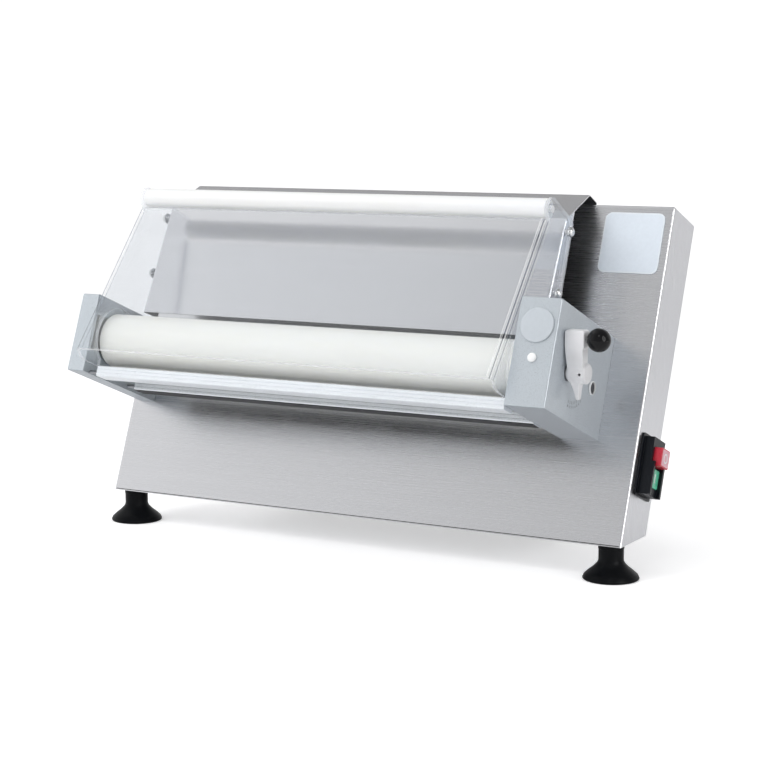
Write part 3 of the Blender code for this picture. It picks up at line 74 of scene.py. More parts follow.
class Signal:
    """One output socket of a node tree, with Python's operators."""

    def __init__(self, tree: "ShaderTree", socket: Any) -> None:
        """Keep the socket and the tree it belongs to.

        Args:
            tree: The tree that new nodes are added to.
            socket: The output socket.
        """
        self.tree = tree
        self.socket = socket

    def maths(self, operation: str, *values: Any) -> "Signal":
        """Add a Math node on this signal and the values.

        Args:
            operation: The Math node's operation.
            values: The other inputs, signals or numbers.

        Returns:
            The node's output.
        """
        return self.tree.add("ShaderNodeMath", {"operation": operation}, (self, *values))

    def __add__(self, other: Any) -> "Signal":
        """Sum."""
        return self.maths("ADD", other)

    __radd__ = __add__

    def __mul__(self, other: Any) -> "Signal":
        """Product."""
        return self.maths("MULTIPLY", other)

    __rmul__ = __mul__

    def __sub__(self, other: Any) -> "Signal":
        """Difference."""
        return self.maths("SUBTRACT", other)

    def __rsub__(self, other: Any) -> "Signal":
        """Difference with the number first."""
        return self.tree.add("ShaderNodeMath", {"operation": "SUBTRACT"}, (other, self))

    def __gt__(self, limit: Any) -> "Signal":
        """1 where this is above the limit."""
        return self.maths("GREATER_THAN", limit)

    def __abs__(self) -> "Signal":
        """Size without sign."""
        return self.maths("ABSOLUTE")

    def between(self, low: float, high: float, to_low: float = 0.0, to_high: float = 1.0) -> "Signal":
        """Stretch low..high to another span, clamped.

        Args:
            low: The value that becomes to_low.
            high: The value that becomes to_high.
            to_low: The result at low.
            to_high: The result at high.

        Returns:
            The stretched signal.
        """
        return self.tree.add("ShaderNodeMapRange", {"clamp": True}, (self, low, high, to_low, to_high))


class ShaderTree:
    """The nodes of one material or world."""

    def __init__(self, tree: Any) -> None:
        """Start with an empty tree.

        Args:
            tree: The node tree.
        """
        self.tree = tree
        tree.nodes.clear()

    def add(self, kind: str, settings: Any = None, inputs: Any = (), output: int | str = 0) -> Signal:
        """Add a node, set it, and link or fill its sockets.

        Args:
            kind: The node's type.
            settings: Properties set first, by name.
            inputs: Values in socket order, or a dict by socket name.
            output: Which output the signal is.

        Returns:
            The chosen output.
        """
        node = self.tree.nodes.new(kind)
        for name, value in (settings or {}).items():
            if name == "stops":
                self._ramp(node.color_ramp, value)
            else:
                setattr(node, name, value)
        pairs = inputs.items() if isinstance(inputs, dict) else enumerate(inputs)
        for key, value in pairs:
            socket = node.inputs[key]
            if isinstance(value, Signal):
                self.tree.links.new(value.socket, socket)
            else:
                colour = isinstance(value, tuple) and len(value) == 3 and socket.type == "RGBA"
                socket.default_value = (*value, 1.0) if colour else value
        return Signal(self, node.outputs[output] if node.outputs else None)

    @staticmethod
    def _ramp(ramp: Any, stops: Sequence[tuple[float, Colour]]) -> None:
        """Set a colour ramp's stops."""
        while len(ramp.elements) < len(stops):
            ramp.elements.new(0.5)
        for element, (place, colour) in zip(ramp.elements, stops):
            element.position = place
            element.color = (*colour, 1.0)

    def mix(self, factor: Any, first: Any, second: Any) -> Signal:
        """Mix two colours.

        Args:
            factor: 0 for the first, 1 for the second.
            first: A signal or a colour.
            second: A signal or a colour.

        Returns:
            The mixed colour.
        """
        settings = {"data_type": "RGBA", "clamp_factor": True}
        return self.add("ShaderNodeMix", settings, {0: factor, 6: first, 7: second}, 2)

    def place(self, scale: Triple = (1.0, 1.0, 1.0), turn: float = 0.0) -> Signal:
        """Object coordinates, turned about X and scaled.

        Args:
            scale: Pattern repeats per metre along each axis.
            turn: Turn about X, so that the pattern follows the leaning unit.

        Returns:
            The coordinates.
        """
        where = self.add("ShaderNodeTexCoord", output="Object")
        inputs = {"Vector": where, "Rotation": (turn, 0.0, 0.0), "Scale": scale}
        return self.add("ShaderNodeMapping", {}, inputs)

    def rays(self, *names: str) -> list[Signal]:
        """Light Path signals by name."""
        return [self.add("ShaderNodeLightPath", output=name) for name in names]

    def noise(self, where: Signal, scale: float = 1.0, detail: float = 3.0, rough: float = 0.5) -> Signal:
        """Noise from 0 to 1.

        Args:
            where: The coordinates.
            scale: Its scale on them.
            detail: Octaves.
            rough: How strong the fine octaves are.

        Returns:
            The noise value.
        """
        inputs = {"Vector": where, "Scale": scale, "Detail": detail, "Roughness": rough}
        return self.add("ShaderNodeTexNoise", {}, inputs)

    def bump(self, height: Signal, depth: float, strength: float = 1.0) -> Signal:
        """A normal from a height.

        Args:
            height: 0 to 1.
            depth: The full height in metres.
            strength: The Bump node's strength.

        Returns:
            The normal.
        """
        return self.add("ShaderNodeBump", {}, {"Strength": strength, "Distance": depth, "Height": height})

    def side_on(self) -> Signal:
        """1 on faces that look along X, 0 on the others.

        Returns:
            The mask.
        """
        normal = self.add("ShaderNodeNewGeometry", output="Normal")
        across = self.add("ShaderNodeSeparateXYZ", {}, (normal,), "X")
        return abs(across) > FACING


@dataclass(frozen=True)
class Finish:
    """A surface: its class of look with its colour and gloss."""

    name: str
    colour: Colour
    roughness: float = 0.4
    metallic: float = 0.0

    def material(self) -> bpy.types.Material:
        """The material, made once.

        Returns:
            The material with its nodes.
        """
        title = f"finish_{self.name}"
        known = bpy.data.materials.get(title)
        if known:
            return known
        made = bpy.data.materials.new(title)
        made.use_nodes = True
        made.diffuse_color = (*self.colour, 1.0)
        tree = ShaderTree(made.node_tree)
        shader = self.surface(tree)
        tree.add("ShaderNodeOutputMaterial", {}, {"Surface": shader})
        return made

    def principled(self, tree: ShaderTree, **sockets: Any) -> Signal:
        """A Principled shader with this finish's constants and the given sockets.

        Args:
            tree: The tree.
            sockets: Sockets by name, with _ for a space.

        Returns:
            The shader.
        """
        inputs = {"Base Color": self.colour, "Roughness": self.roughness, "Metallic": self.metallic}
        inputs.update({name.replace("_", " "): value for name, value in sockets.items()})
        return tree.add("ShaderNodeBsdfPrincipled", {}, inputs)

    def shade(self, factor: float) -> Colour:
        """This finish's colour, darker or lighter by a factor."""
        return tuple(min(1.0, channel * factor) for channel in self.colour)

    def gloss(self, texture: Signal, below: float, above: float) -> Signal:
        """Roughness that follows a texture.

        Args:
            texture: The texture, from 0 to 1.
            below: How far it goes below this finish's roughness.
            above: How far it goes above it.

        Returns:
            The roughness.
        """
        return texture.between(0.3, 0.7, self.roughness - below, self.roughness + above)

    def surface(self, tree: ShaderTree) -> Signal:
        """The shader; each kind of finish gives its own."""
        raise NotImplementedError


@dataclass(frozen=True)
class BrushedSheet(Finish):
    """Stainless sheet with a fine grain, faint clouds and a few deeper lines."""

    metallic: float = 1.0
    turn: float = LEAN
    contrast: float = 0.05

    def surface(self, tree: ShaderTree) -> Signal:
        """The shader, with the grain along X on the wide faces and up the face on the sides."""
        along = tree.noise(tree.place((12.0, 2600.0, 2600.0), self.turn), 1.0, 3.0, 0.6)
        upward = tree.noise(tree.place((2600.0, 2600.0, 12.0), self.turn), 1.0, 3.0, 0.6)
        side = tree.side_on()
        grain = along * (1.0 - side) + upward * side
        coarse = tree.noise(tree.place((2.5, 420.0, 420.0), self.turn), 1.0, 2.0)
        clouds = tree.noise(tree.place((4.0, 7.0, 7.0), self.turn), 1.0, 3.0)
        mixed = grain * 0.7 + coarse * 0.3
        dark, light = self.shade(1.0 - self.contrast), self.shade(1.0 + self.contrast * 0.45)
        tint = tree.mix(mixed.between(0.3, 0.7), dark, light)
        rough = grain.between(0.25, 0.75, self.roughness - 0.03, self.roughness + 0.04)
        rough = rough + clouds.between(0.3, 0.7, -0.01, 0.015)
        normal = tree.bump(mixed, 0.000004, 0.2)
        return self.principled(tree, Base_Color=tint, Roughness=rough, Normal=normal)


@dataclass(frozen=True)
class SatinPaint(Finish):
    """Thin silver-grey powder coat with a fine pebble."""

    def surface(self, tree: ShaderTree) -> Signal:
        """The shader."""
        pebble = tree.noise(tree.place(), 1500.0, 3.0, 0.6)
        speck = tree.noise(tree.place(), 3800.0, 1.0)
        clouds = tree.noise(tree.place(), 9.0, 2.0)
        patches = (speck * 0.5 + clouds * 0.5).between(0.35, 0.65)
        tint = tree.mix(patches, self.shade(0.95), self.shade(1.05))
        rough = self.gloss(pebble, 0.05, 0.06)
        normal = tree.bump(pebble, 0.00003, 0.45)
        return self.principled(tree, Base_Color=tint, Roughness=rough, Normal=normal)


@dataclass(frozen=True)
class TurnedPlastic(Finish):
    """White plastic turned on a lathe: faint rings along X and soft clouds."""

    def surface(self, tree: ShaderTree) -> Signal:
        """The shader."""
        rings = tree.noise(tree.place((1600.0, 4.0, 4.0)), 1.0, 2.0)
        wear = tree.noise(tree.place((3.0, 26.0, 26.0)), 1.0, 4.0, 0.6)
        warm = tuple(channel * factor for channel, factor in zip(self.colour, (0.965, 0.955, 0.925)))
        tint = tree.mix(wear.between(0.35, 0.75), self.colour, warm)
        rough = self.gloss(rings * 0.5 + wear * 0.5, 0.06, 0.08)
        normal = tree.bump(rings, 0.000012, 0.4)
        depth = {"Subsurface_Weight": 0.12, "Subsurface_Radius": (0.004, 0.004, 0.003)}
        return self.principled(tree, Base_Color=tint, Roughness=rough, Normal=normal, **depth)


@dataclass(frozen=True)
class Moulded(Finish):
    """Moulded plastic with a fine even texture."""

    grain: float = 1300.0
    depth: float = 0.00002
    coat: float = 0.0
    shine: float = 0.5

    def surface(self, tree: ShaderTree) -> Signal:
        """The shader."""
        skin = tree.noise(tree.place(), self.grain, 3.0, 0.55)
        clouds = tree.noise(tree.place(), 45.0, 2.0)
        tint = tree.mix(clouds.between(0.35, 0.7), self.colour, self.shade(0.90))
        rough = self.gloss(skin, 0.05, 0.06)
        normal = tree.bump(skin, self.depth, 0.5)
        polish = {"Coat_Weight": self.coat, "Coat_Roughness": 0.08, "Specular_IOR_Level": self.shine}
        return self.principled(tree, Base_Color=tint, Roughness=rough, Normal=normal, **polish)


@dataclass(frozen=True)
class Rubber(Finish):
    """Matt black rubber with faint dusty patches."""

    def surface(self, tree: ShaderTree) -> Signal:
        """The shader."""
        skin = tree.noise(tree.place(), 900.0, 4.0, 0.6)
        dust = tree.noise(tree.place(), 130.0, 3.0)
        tint = tree.mix(dust.between(0.45, 0.8, 0.0, 0.35), self.colour, (0.007, 0.0075, 0.009))
        sockets = {"Roughness": self.gloss(skin, 0.06, 0.08), "Normal": tree.bump(skin, 0.00002, 0.4)}
        return self.principled(tree, Base_Color=tint, Specular_IOR_Level=0.10, **sockets)


@dataclass(frozen=True)
class ClearSheet(Finish):
    """Clear acrylic sheet: it shows what is behind, mirrors at a glance, and has faint wiping marks."""

    veil: float = 0.03
    steady: float = 0.4
    tint: Colour = (0.965, 0.972, 0.978)
    haze: Colour = (0.88, 0.90, 0.93)
    glint: Colour = (1.0, 1.0, 1.0)

    def surface(self, tree: ShaderTree) -> Signal:
        """The shader."""
        wipes = tree.noise(tree.place((14.0, 60.0, 60.0), LEAN), 1.0, 4.0, 0.6)
        facing = tree.add("ShaderNodeLayerWeight", {}, {"Blend": 0.5}, "Facing")
        glance = facing.maths("POWER", 4.0).between(0.0, 1.0, 0.05, 0.85)
        through = tree.add("ShaderNodeBsdfTransparent", {}, {"Color": self.tint})
        rough = wipes.between(0.45, 0.8, self.roughness, self.roughness + 0.05)
        mirror = self.principled(tree, Roughness=rough, Metallic=1.0, Specular_Tint=(*self.glint, 1.0))
        sheet = tree.add("ShaderNodeMixShader", {}, (glance, through, mirror))
        haze = tree.add("ShaderNodeBsdfDiffuse", {}, {"Color": self.haze})
        share = wipes.between(0.35, 0.8, self.veil * self.steady, self.veil)
        cloudy = tree.add("ShaderNodeMixShader", {}, (share, sheet, haze))
        shadow = tree.add("ShaderNodeLightPath", output="Is Shadow Ray")
        light = tree.add("ShaderNodeBsdfTransparent", {}, {"Color": (0.97, 0.975, 0.98)})
        return tree.add("ShaderNodeMixShader", {}, (shadow, cloudy, light))


@dataclass(frozen=True)
class Machined(Finish):
    """Cut metal with fine tool marks about X."""

    metallic: float = 1.0
    marks: Triple = (1800.0, 12.0, 12.0)

    def surface(self, tree: ShaderTree) -> Signal:
        """The shader."""
        marks = tree.noise(tree.place(self.marks), 1.0, 3.0, 0.6)
        stain = tree.noise(tree.place(), 60.0, 3.0)
        tint = tree.mix((marks * 0.55 + stain * 0.45).between(0.3, 0.7), self.shade(0.80), self.colour)
        sockets = {"Roughness": self.gloss(marks, 0.06, 0.08), "Normal": tree.bump(marks, 0.00002, 0.4)}
        return self.principled(tree, Base_Color=tint, **sockets)


@dataclass(frozen=True)
class Printed(Finish):
    """A flat printed or laminated surface with a slight haze."""

    shine: float = 0.4

    def surface(self, tree: ShaderTree) -> Signal:
        """The shader."""
        haze = tree.noise(tree.place(), 240.0, 3.0)
        tint = tree.mix(haze.between(0.35, 0.7), self.colour, self.shade(0.965))
        sockets = {"Roughness": self.gloss(haze, 0.04, 0.05), "Normal": tree.bump(haze, 0.00001, 0.3)}
        return self.principled(tree, Base_Color=tint, Specular_IOR_Level=self.shine, **sockets)


@dataclass(frozen=True)
class Paper(Finish):
    """White paper with a faint lift of its own, so that it stays white under soft lamps."""

    fibre: Colour = (0.925, 0.925, 0.93)

    def surface(self, tree: ShaderTree) -> Signal:
        """The shader."""
        tint = tree.mix(tree.noise(tree.place(), 60.0, 3.0), self.colour, self.fibre)
        paper = self.principled(tree, Base_Color=tint, Specular_IOR_Level=0.1)
        seen, glossy, through = tree.rays("Is Camera Ray", "Is Glossy Ray", "Is Transmission Ray")
        strength = (seen + through) * 0.42 + glossy * 0.10
        lift = tree.add("ShaderNodeEmission", {}, {"Color": (1.0, 1.0, 1.0), "Strength": strength})
        return tree.add("ShaderNodeAddShader", {}, (paper, lift))


CABINET_STEEL = BrushedSheet("cabinet_steel", (0.73, 0.735, 0.76), 0.26)
CHUTE_STEEL = BrushedSheet("chute_steel", (0.83, 0.83, 0.855), 0.16, contrast=0.03)
# Painted shade: a dark copy of the steel for faces in shade, the hood's inner side and the front bar's back.
SHADE_PAINTED_STEEL = BrushedSheet("shade_painted_steel", (0.16, 0.165, 0.175), 0.45)
# Painted shade: near-black steel for the rear bar's under and back faces and the strip above the cabinet's
# bottom edge.
DEEP_SHADE_PAINTED_STEEL = BrushedSheet("deep_shade_painted_steel", (0.02, 0.021, 0.023), 0.5)
# Painted shade: a darker copy of the box paint for the covers' down-facing faces.
BOX_SHADE_PAINTED = SatinPaint("box_shade_painted", (0.36, 0.395, 0.43), 0.34, 0.45)
HOUSING_STEEL = BrushedSheet("housing_steel", (0.60, 0.60, 0.62), 0.34, turn=0.0)
BOX_PAINT = SatinPaint("box_paint", (0.53, 0.575, 0.615), 0.30, 0.45)
ROLLER_WHITE = TurnedPlastic("roller_plastic", (0.88, 0.88, 0.85), 0.38)
ROD_WHITE = TurnedPlastic("rod_plastic", (0.84, 0.85, 0.865), 0.34)
LEVER_GREY = Moulded("lever_plastic", (0.78, 0.78, 0.80), 0.40, grain=900.0)
KNOB_BLACK = Moulded("knob_plastic", (0.005, 0.005, 0.006), 0.08, grain=300.0, depth=0.000002, shine=0.20)
SWITCH_BLACK = Moulded("switch_plastic", (0.0045, 0.006, 0.0095), 0.32, depth=0.00001, shine=0.28)
GLOSSY: dict[str, float] = {"grain": 700.0, "depth": 0.00001, "coat": 0.3}
STOP_RED = Moulded("stop_plastic", (0.62, 0.024, 0.050), 0.30, **GLOSSY)
START_GREEN = Moulded("start_plastic", (0.107, 0.60, 0.37), 0.30, **GLOSSY)
FOOT_RUBBER = Rubber("foot_rubber", (0.0025, 0.003, 0.004), 0.34)
ACRYLIC = ClearSheet("guard_acrylic", (0.96, 0.97, 0.98), 0.03)
ACRYLIC_SIDE = ClearSheet("guard_side", (0.96, 0.97, 0.98), 0.03, veil=0.05, tint=(0.945, 0.952, 0.962))
ACRYLIC_EDGE = ClearSheet(
    "guard_edge", (0.90, 0.92, 0.95), 0.10, veil=0.30, steady=1.0, haze=(0.93, 0.94, 0.96)
)
# Painted highlight: a whitish veil on columns of the guard's bends where bright streaks show.
ACRYLIC_PAINTED_HIGHLIGHT = ClearSheet(
    "guard_painted_highlight", (0.98, 0.98, 0.99), 0.06, veil=0.50, steady=0.9, haze=(0.97, 0.975, 0.98)
)
# Painted reflection: a dark, dimmed copy of the sheet on columns of the guard's bends where dark streaks show.
ACRYLIC_PAINTED_DARK = ClearSheet(
    "guard_painted_dark_streak",
    (0.22, 0.24, 0.27),
    0.06,
    veil=0.10,
    tint=(0.58, 0.60, 0.64),
    haze=(0.30, 0.32, 0.36),
    glint=(0.12, 0.13, 0.15),
)
PLAIN_STEEL = Machined("machined_steel", (0.56, 0.57, 0.58), 0.30)
PIN_STEEL = Machined("pin_steel", (0.34, 0.35, 0.37), 0.30)
BRONZE = Machined("bush_bronze", (0.62, 0.44, 0.22), 0.34)
ALUMINIUM = SatinPaint("scraper_aluminium", (0.80, 0.835, 0.875), 0.30, 0.45)
CHROME = Machined("nut_chrome", (0.80, 0.81, 0.82), 0.12, marks=(200.0, 200.0, 200.0))
LABEL_PALE = Printed("label_pale", (0.70, 0.76, 0.83), 0.5, shine=0.2)
LABEL_RIM = Printed("label_rim", (0.76, 0.81, 0.86), 0.5, shine=0.2)
DISC_PALE = Printed("disc_pale", (0.50, 0.54, 0.58), 0.42)
CAP_PALE = Moulded("cap_pale", (0.88, 0.89, 0.90), 0.25, grain=600.0, depth=0.00001, coat=0.3)
INK_FAINT = Printed("ink_faint", (0.26, 0.28, 0.30), 0.5)
INK_WHITE = Printed("ink_white", (0.88, 0.88, 0.88), 0.45)
FACE_PINK = Printed("stop_face", (0.80, 0.44, 0.50), 0.30)
HOLE_BLACK = Rubber("hole_black", (0.006, 0.006, 0.007), 0.6)
# Painted shade for the dark inside of a hollow.
HOLLOW_PAINTED_SHADE = Printed("hollow_painted_shade", (0.045, 0.048, 0.055), 0.6)
MOTOR_GREY = Moulded("motor_grey", (0.20, 0.22, 0.24), 0.5, grain=600.0, depth=0.00005)
PAPER = Paper("floor_paper", (0.90, 0.90, 0.905), 0.85)


# ---------------------------------------------------------------------------------------------------------
# Mesh tools


class Along(Enum):
    """The axis that a turned shape runs along."""

    X = "X"
    OUT = "OUT"
    Z = "Z"


@dataclass(frozen=True)
class Leaning:
    """The leaning unit's frame: x, w out of the cabinet's front, v up its face."""

    matrix: Matrix

    @classmethod
    def of_cabinet(cls) -> "Leaning":
        """The frame at the cabinet's bottom front edge.

        Returns:
            The leaning frame.
        """
        low, high = box_of("cabinet_shell")
        corner = Vector(((low.x + high.x) / 2, low.y, low.z))
        return cls(Matrix.Translation(corner) @ Matrix.Rotation(-LEAN, 4, "X"))

    @property
    def upright(self) -> Matrix:
        """Turns a direction of the object's frame into one of the leaning frame."""
        return self.matrix.to_3x3().inverted()

    def ends(self, node: str) -> Pair:
        """Where a CAD node starts and ends along the leaning frame's x."""
        low, high = box_of(node)
        shift = self.matrix.translation.x
        return low.x - shift, high.x - shift


def box_of(node: str) -> tuple[Vector, Vector]:
    """The low and the high corner of a CAD node."""
    low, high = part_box(node)
    return Vector(low), Vector(high)


def middle_of(node: str) -> Vector:
    """The middle of a CAD node."""
    low, high = box_of(node)
    return (low + high) / 2


def in_scene(name: str, data: Any) -> Any:
    """Make an object of some data and put it in the scene."""
    item = bpy.data.objects.new(name, data)
    bpy.context.scene.collection.objects.link(item)
    return item


def shade_smooth(mesh: Any, sharp: float) -> None:
    """Shade a mesh smooth, with edges over an angle in degrees kept sharp."""
    mesh.shade_smooth()
    mesh.set_sharp_from_angle(angle=math.radians(sharp))


def new_object(
    name: str, shape: Shape, finish: Finish, matrix: Matrix | None = None, sharp: float = SHARP
) -> Any:
    """Make an object of a bmesh, its place in its mesh, shaded smooth with sharp edges.

    Args:
        name: The piece's name.
        shape: The bmesh, which is freed.
        finish: Its finish.
        matrix: Moves it to the object's frame.
        sharp: The angle in degrees over which an edge is sharp.

    Returns:
        The object, in the scene.
    """
    if matrix:
        shape.transform(matrix)
    bmesh.ops.remove_doubles(shape, verts=shape.verts, dist=1e-7)
    bmesh.ops.recalc_face_normals(shape, faces=shape.faces)
    mesh = bpy.data.meshes.new(name)
    shape.to_mesh(mesh)
    shape.free()
    shade_smooth(mesh, sharp)
    mesh.materials.append(finish.material())
    return in_scene(name, mesh)


def settle(item: Any) -> Any:
    """Turn an object's modifiers into its mesh.

    Args:
        item: The object with live modifiers.

    Returns:
        The same object without them.
    """
    graph = bpy.context.evaluated_depsgraph_get()
    mesh = bpy.data.meshes.new_from_object(item.evaluated_get(graph))
    item.modifiers.clear()
    item.data = mesh
    return item


def smooth(item: Any, sharp: float = SHARP) -> Any:
    """Shade an object smooth with sharp edges, its flat faces flat up to their rounded edges.

    Args:
        item: The object.
        sharp: The angle in degrees over which an edge is sharp.

    Returns:
        The object, with its normals in its mesh.
    """
    shade_smooth(item.data, sharp)
    weighted = item.modifiers.new("flat", "WEIGHTED_NORMAL")
    weighted.keep_sharp = True
    weighted.weight = 100
    return settle(item)


def soften(item: Any, width: float, segments: int = 3, angle: float = 30.0) -> Any:
    """Round an object's edges.

    Args:
        item: The object.
        width: The rounding's width.
        segments: Its segments.
        angle: Edges turning less than this stay.

    Returns:
        The object, with the rounding in its mesh.
    """
    bevel = item.modifiers.new("edge", "BEVEL")
    bevel.width = width
    bevel.segments = segments
    bevel.limit_method = "ANGLE"
    bevel.angle_limit = math.radians(angle)
    bevel.use_clamp_overlap = True
    bevel.miter_outer = "MITER_ARC"
    return smooth(settle(item))


def carve(item: Any, cutters: Sequence[Any], flat: bool = True) -> Any:
    """Cut the cutters out of an object and remove them.

    Args:
        item: The object.
        cutters: The objects to cut with.
        flat: Whether its flat faces are shaded flat up to their edges.

    Returns:
        The object, cut.
    """
    for cutter in cutters:
        cut = item.modifiers.new("cut", "BOOLEAN")
        cut.operation = "DIFFERENCE"
        cut.solver = "EXACT"
        cut.object = cutter
    settle(item)
    for cutter in cutters:
        bpy.data.objects.remove(cutter, do_unlink=True)
    return smooth(item) if flat else item


def thicken(item: Any, thickness: float, **settings: Any) -> Any:
    """Give an open sheet its thickness, inwards unless the settings say otherwise.

    Args:
        item: The sheet.
        thickness: Its thickness.
        settings: Other settings of the Solidify modifier.

    Returns:
        The object, as a closed wall.
    """
    wall = item.modifiers.new("wall", "SOLIDIFY")
    wall.thickness = thickness
    wall.offset = -1.0
    for name, value in settings.items():
        setattr(wall, name, value)
    return settle(item)


def round_edges(shape: Shape, edges: Sequence[Any], width: float, segments: int) -> None:
    """Round some edges of a bmesh."""
    bmesh.ops.bevel(shape, geom=edges, offset=width, segments=segments, profile=0.5, affect="EDGES")


def arc(centre: Pair, radius: float, start: float, end: float, steps: int) -> list[Pair]:
    """Points on an arc between two angles in degrees."""
    turns = (math.radians(start + (end - start) * i / steps) for i in range(steps + 1))
    return [(centre[0] + radius * math.cos(turn), centre[1] + radius * math.sin(turn)) for turn in turns]


def rounded(points: Sequence[Pair], radii: Sequence[float], steps: int = 8) -> list[Pair]:
    """A line of points with its inner corners rounded.

    Args:
        points: The corners, ends included.
        radii: One radius for each inner corner.
        steps: Segments in each corner.

    Returns:
        The rounded line.
    """
    line = [points[0]]
    for (before, here, after), radius in zip(zip(points, points[1:], points[2:]), radii):
        corner, one, two = Vector(here), Vector(before), Vector(after)
        to_one, to_two = (one - corner).normalized(), (two - corner).normalized()
        half = to_one.angle(to_two) / 2
        reach = radius / math.tan(half)
        middle = corner + (to_one + to_two).normalized() * radius / math.sin(half)
        start, end = corner + to_one * reach - middle, corner + to_two * reach - middle
        for i in range(steps + 1):
            spoke = start.lerp(end, i / steps).normalized() * radius
            line.append(tuple(middle + spoke))
    line.append(points[-1])
    return line


def rounded_box(low: Pair, high: Pair, radius: float, steps: int = 8) -> list[Pair]:
    """A rectangle with round corners."""
    outline: list[Pair] = []
    corners = ((high[0], low[1]), (high[0], high[1]), (low[0], high[1]), (low[0], low[1]))
    for (a, b), start in zip(corners, (-90, 0, 90, 180)):
        inner = (a - radius if a == high[0] else a + radius, b - radius if b == high[1] else b + radius)
        outline += arc(inner, radius, start, start + 90, steps)
    return outline


def strip_outline(line: Sequence[Pair], thickness: float) -> list[Pair]:
    """The outline of a sheet whose middle line is given."""
    left: list[Pair] = []
    right: list[Pair] = []
    for i, point in enumerate(line):
        here = Vector(point)
        before = (here - Vector(line[i - 1])).normalized() if i else (Vector(line[1]) - here).normalized()
        after = (Vector(line[i + 1]) - here).normalized() if i + 1 < len(line) else before
        normal = Vector((-before.y - after.y, before.x + after.x)).normalized()
        reach = thickness / 2 / max(0.3, normal.dot(Vector((-before.y, before.x))))
        left.append(tuple(here + normal * reach))
        right.append(tuple(here - normal * reach))
    return left + right[::-1]


class Plane(Enum):
    """How an outline's (a, b) and its height lie in the leaning frame or upright."""

    ALONG_X = "w and v, drawn out along x"
    OUTWARD = "x and v, drawn out along w"
    UPRIGHT_X = "y and z, drawn out along x"
    UPRIGHT_Y = "x and z, drawn out along y"

    def point(self, a: float, b: float, h: float) -> Vector:
        """The place of an outline point at a height."""
        if self is Plane.ALONG_X:
            return Vector((h, -a, b))
        if self is Plane.OUTWARD:
            return Vector((a, -h, b))
        if self is Plane.UPRIGHT_X:
            return Vector((h, a, b))
        return Vector((a, h, b))


def extrude(
    outline: Sequence[Pair], low: float, high: float, plane: Plane, into: Shape | None = None
) -> Shape:
    """Draw an outline out into a closed shape.

    Args:
        outline: Its corners.
        low: The near end.
        high: The far end.
        plane: How it lies.
        into: A bmesh to add to, or None for a new one.

    Returns:
        The bmesh.
    """
    shape = into or bmesh.new()
    near = [shape.verts.new(plane.point(a, b, low)) for a, b in outline]
    far = [shape.verts.new(plane.point(a, b, high)) for a, b in outline]
    faces = [shape.faces.new(near), shape.faces.new(far[::-1])]
    for i in range(len(outline)):
        j = (i + 1) % len(outline)
        faces.append(shape.faces.new([near[j], near[i], far[i], far[j]]))
    bmesh.ops.recalc_face_normals(shape, faces=faces)
    return shape


def lathe(
    profile: Sequence[Pair], segments: int, along: Along, centre: Vector, into: Shape | None = None
) -> Shape:
    """Turn a profile of (along, radius) about an axis through the centre.

    Args:
        profile: The profile, closed at radius 0 or meeting its own start.
        segments: Segments round.
        along: The axis.
        centre: A point on it.
        into: A bmesh to add to, or None for a new one.

    Returns:
        The bmesh.
    """
    shape = into or bmesh.new()
    rings: list[list[Any]] = []
    for height, radius in profile:
        count = segments if radius > 0 else 1
        ring = []
        for i in range(count):
            turn = 2 * math.pi * i / segments
            a, b = radius * math.cos(turn), radius * math.sin(turn)
            offset = {Along.X: (height, a, b), Along.OUT: (a, -height, b), Along.Z: (a, b, height)}[along]
            ring.append(shape.verts.new(centre + Vector(offset)))
        rings.append(ring)
    if profile[0][1] > 0:
        rings.append(rings[0])
    made = []
    for first, second in zip(rings, rings[1:]):
        for i in range(segments):
            j = (i + 1) % segments
            near = [first[k % len(first)] for k in (i, j)]
            far = [second[k % len(second)] for k in (j, i)]
            made.append(shape.faces.new(list(dict.fromkeys(near + far))))
    bmesh.ops.recalc_face_normals(shape, faces=made)
    return shape


def plug(
    start: float, end: float, radius: float, segments: int, centre: Vector, along: Along = Along.X
) -> Shape:
    """A plain cylinder.

    Args:
        start: Its near end, along its axis from the centre.
        end: Its far end.
        radius: Its radius.
        segments: Segments round.
        centre: A point on its axis.
        along: The axis.

    Returns:
        The bmesh.
    """
    profile = [(start, 0.0), (start, radius), (end, radius), (end, 0.0)]
    return lathe(profile, segments, along, centre)


def node_copy(node: str, finish: Finish, width: float, segments: int = 3) -> Any:
    """A copy of a CAD node with flat faces merged and its edges rounded.

    Args:
        node: The CAD node.
        finish: The finish of the copy.
        width: The rounding.
        segments: Segments of the rounding.

    Returns:
        The piece.
    """
    shape = bmesh.new()
    shape.from_mesh(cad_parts[node].data)
    bmesh.ops.remove_doubles(shape, verts=shape.verts, dist=2e-6)
    flat = math.radians(0.6)
    bmesh.ops.dissolve_limit(shape, angle_limit=flat, verts=shape.verts, edges=shape.edges)
    return soften(new_object(f"{node}_dressed", shape, finish), width, segments)


def shade_facing(piece: Any, finish: Finish, lean: Leaning, *ways: Vector) -> None:
    """Paint shade on the faces that look one of the given ways in the leaning frame: they get another, darker
    finish.

    Args:
        piece: The piece.
        finish: The darker finish of those faces, as painted shade.
        lean: The leaning frame.
        ways: The directions.
    """
    piece.data.materials.append(finish.material())
    for face in piece.data.polygons:
        if any((lean.upright @ face.normal).dot(way) > FACING for way in ways):
            face.material_index = 1


def dress(node: str, finish: Finish) -> None:
    """Give a CAD node a finish, its shape unchanged.

    Args:
        node: The CAD node.
        finish: Its finish.
    """
    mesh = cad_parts[node].data
    mesh.materials.clear()
    mesh.materials.append(finish.material())


def fit(piece: Any, body: str, *nodes: str, slot: str = "") -> None:
    """Hang a piece on its body and say which CAD nodes it stands for.

    Args:
        piece: The piece.
        body: The CAD body it moves with.
        nodes: The nodes it replaces.
        slot: Not used.
    """
    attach(piece, body)
    if nodes:
        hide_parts(*nodes)
    log.info("%s: %d faces on %s", piece.name, len(piece.data.polygons), body)


# ---------------------------------------------------------------------------------------------------------
# Geometry Nodes


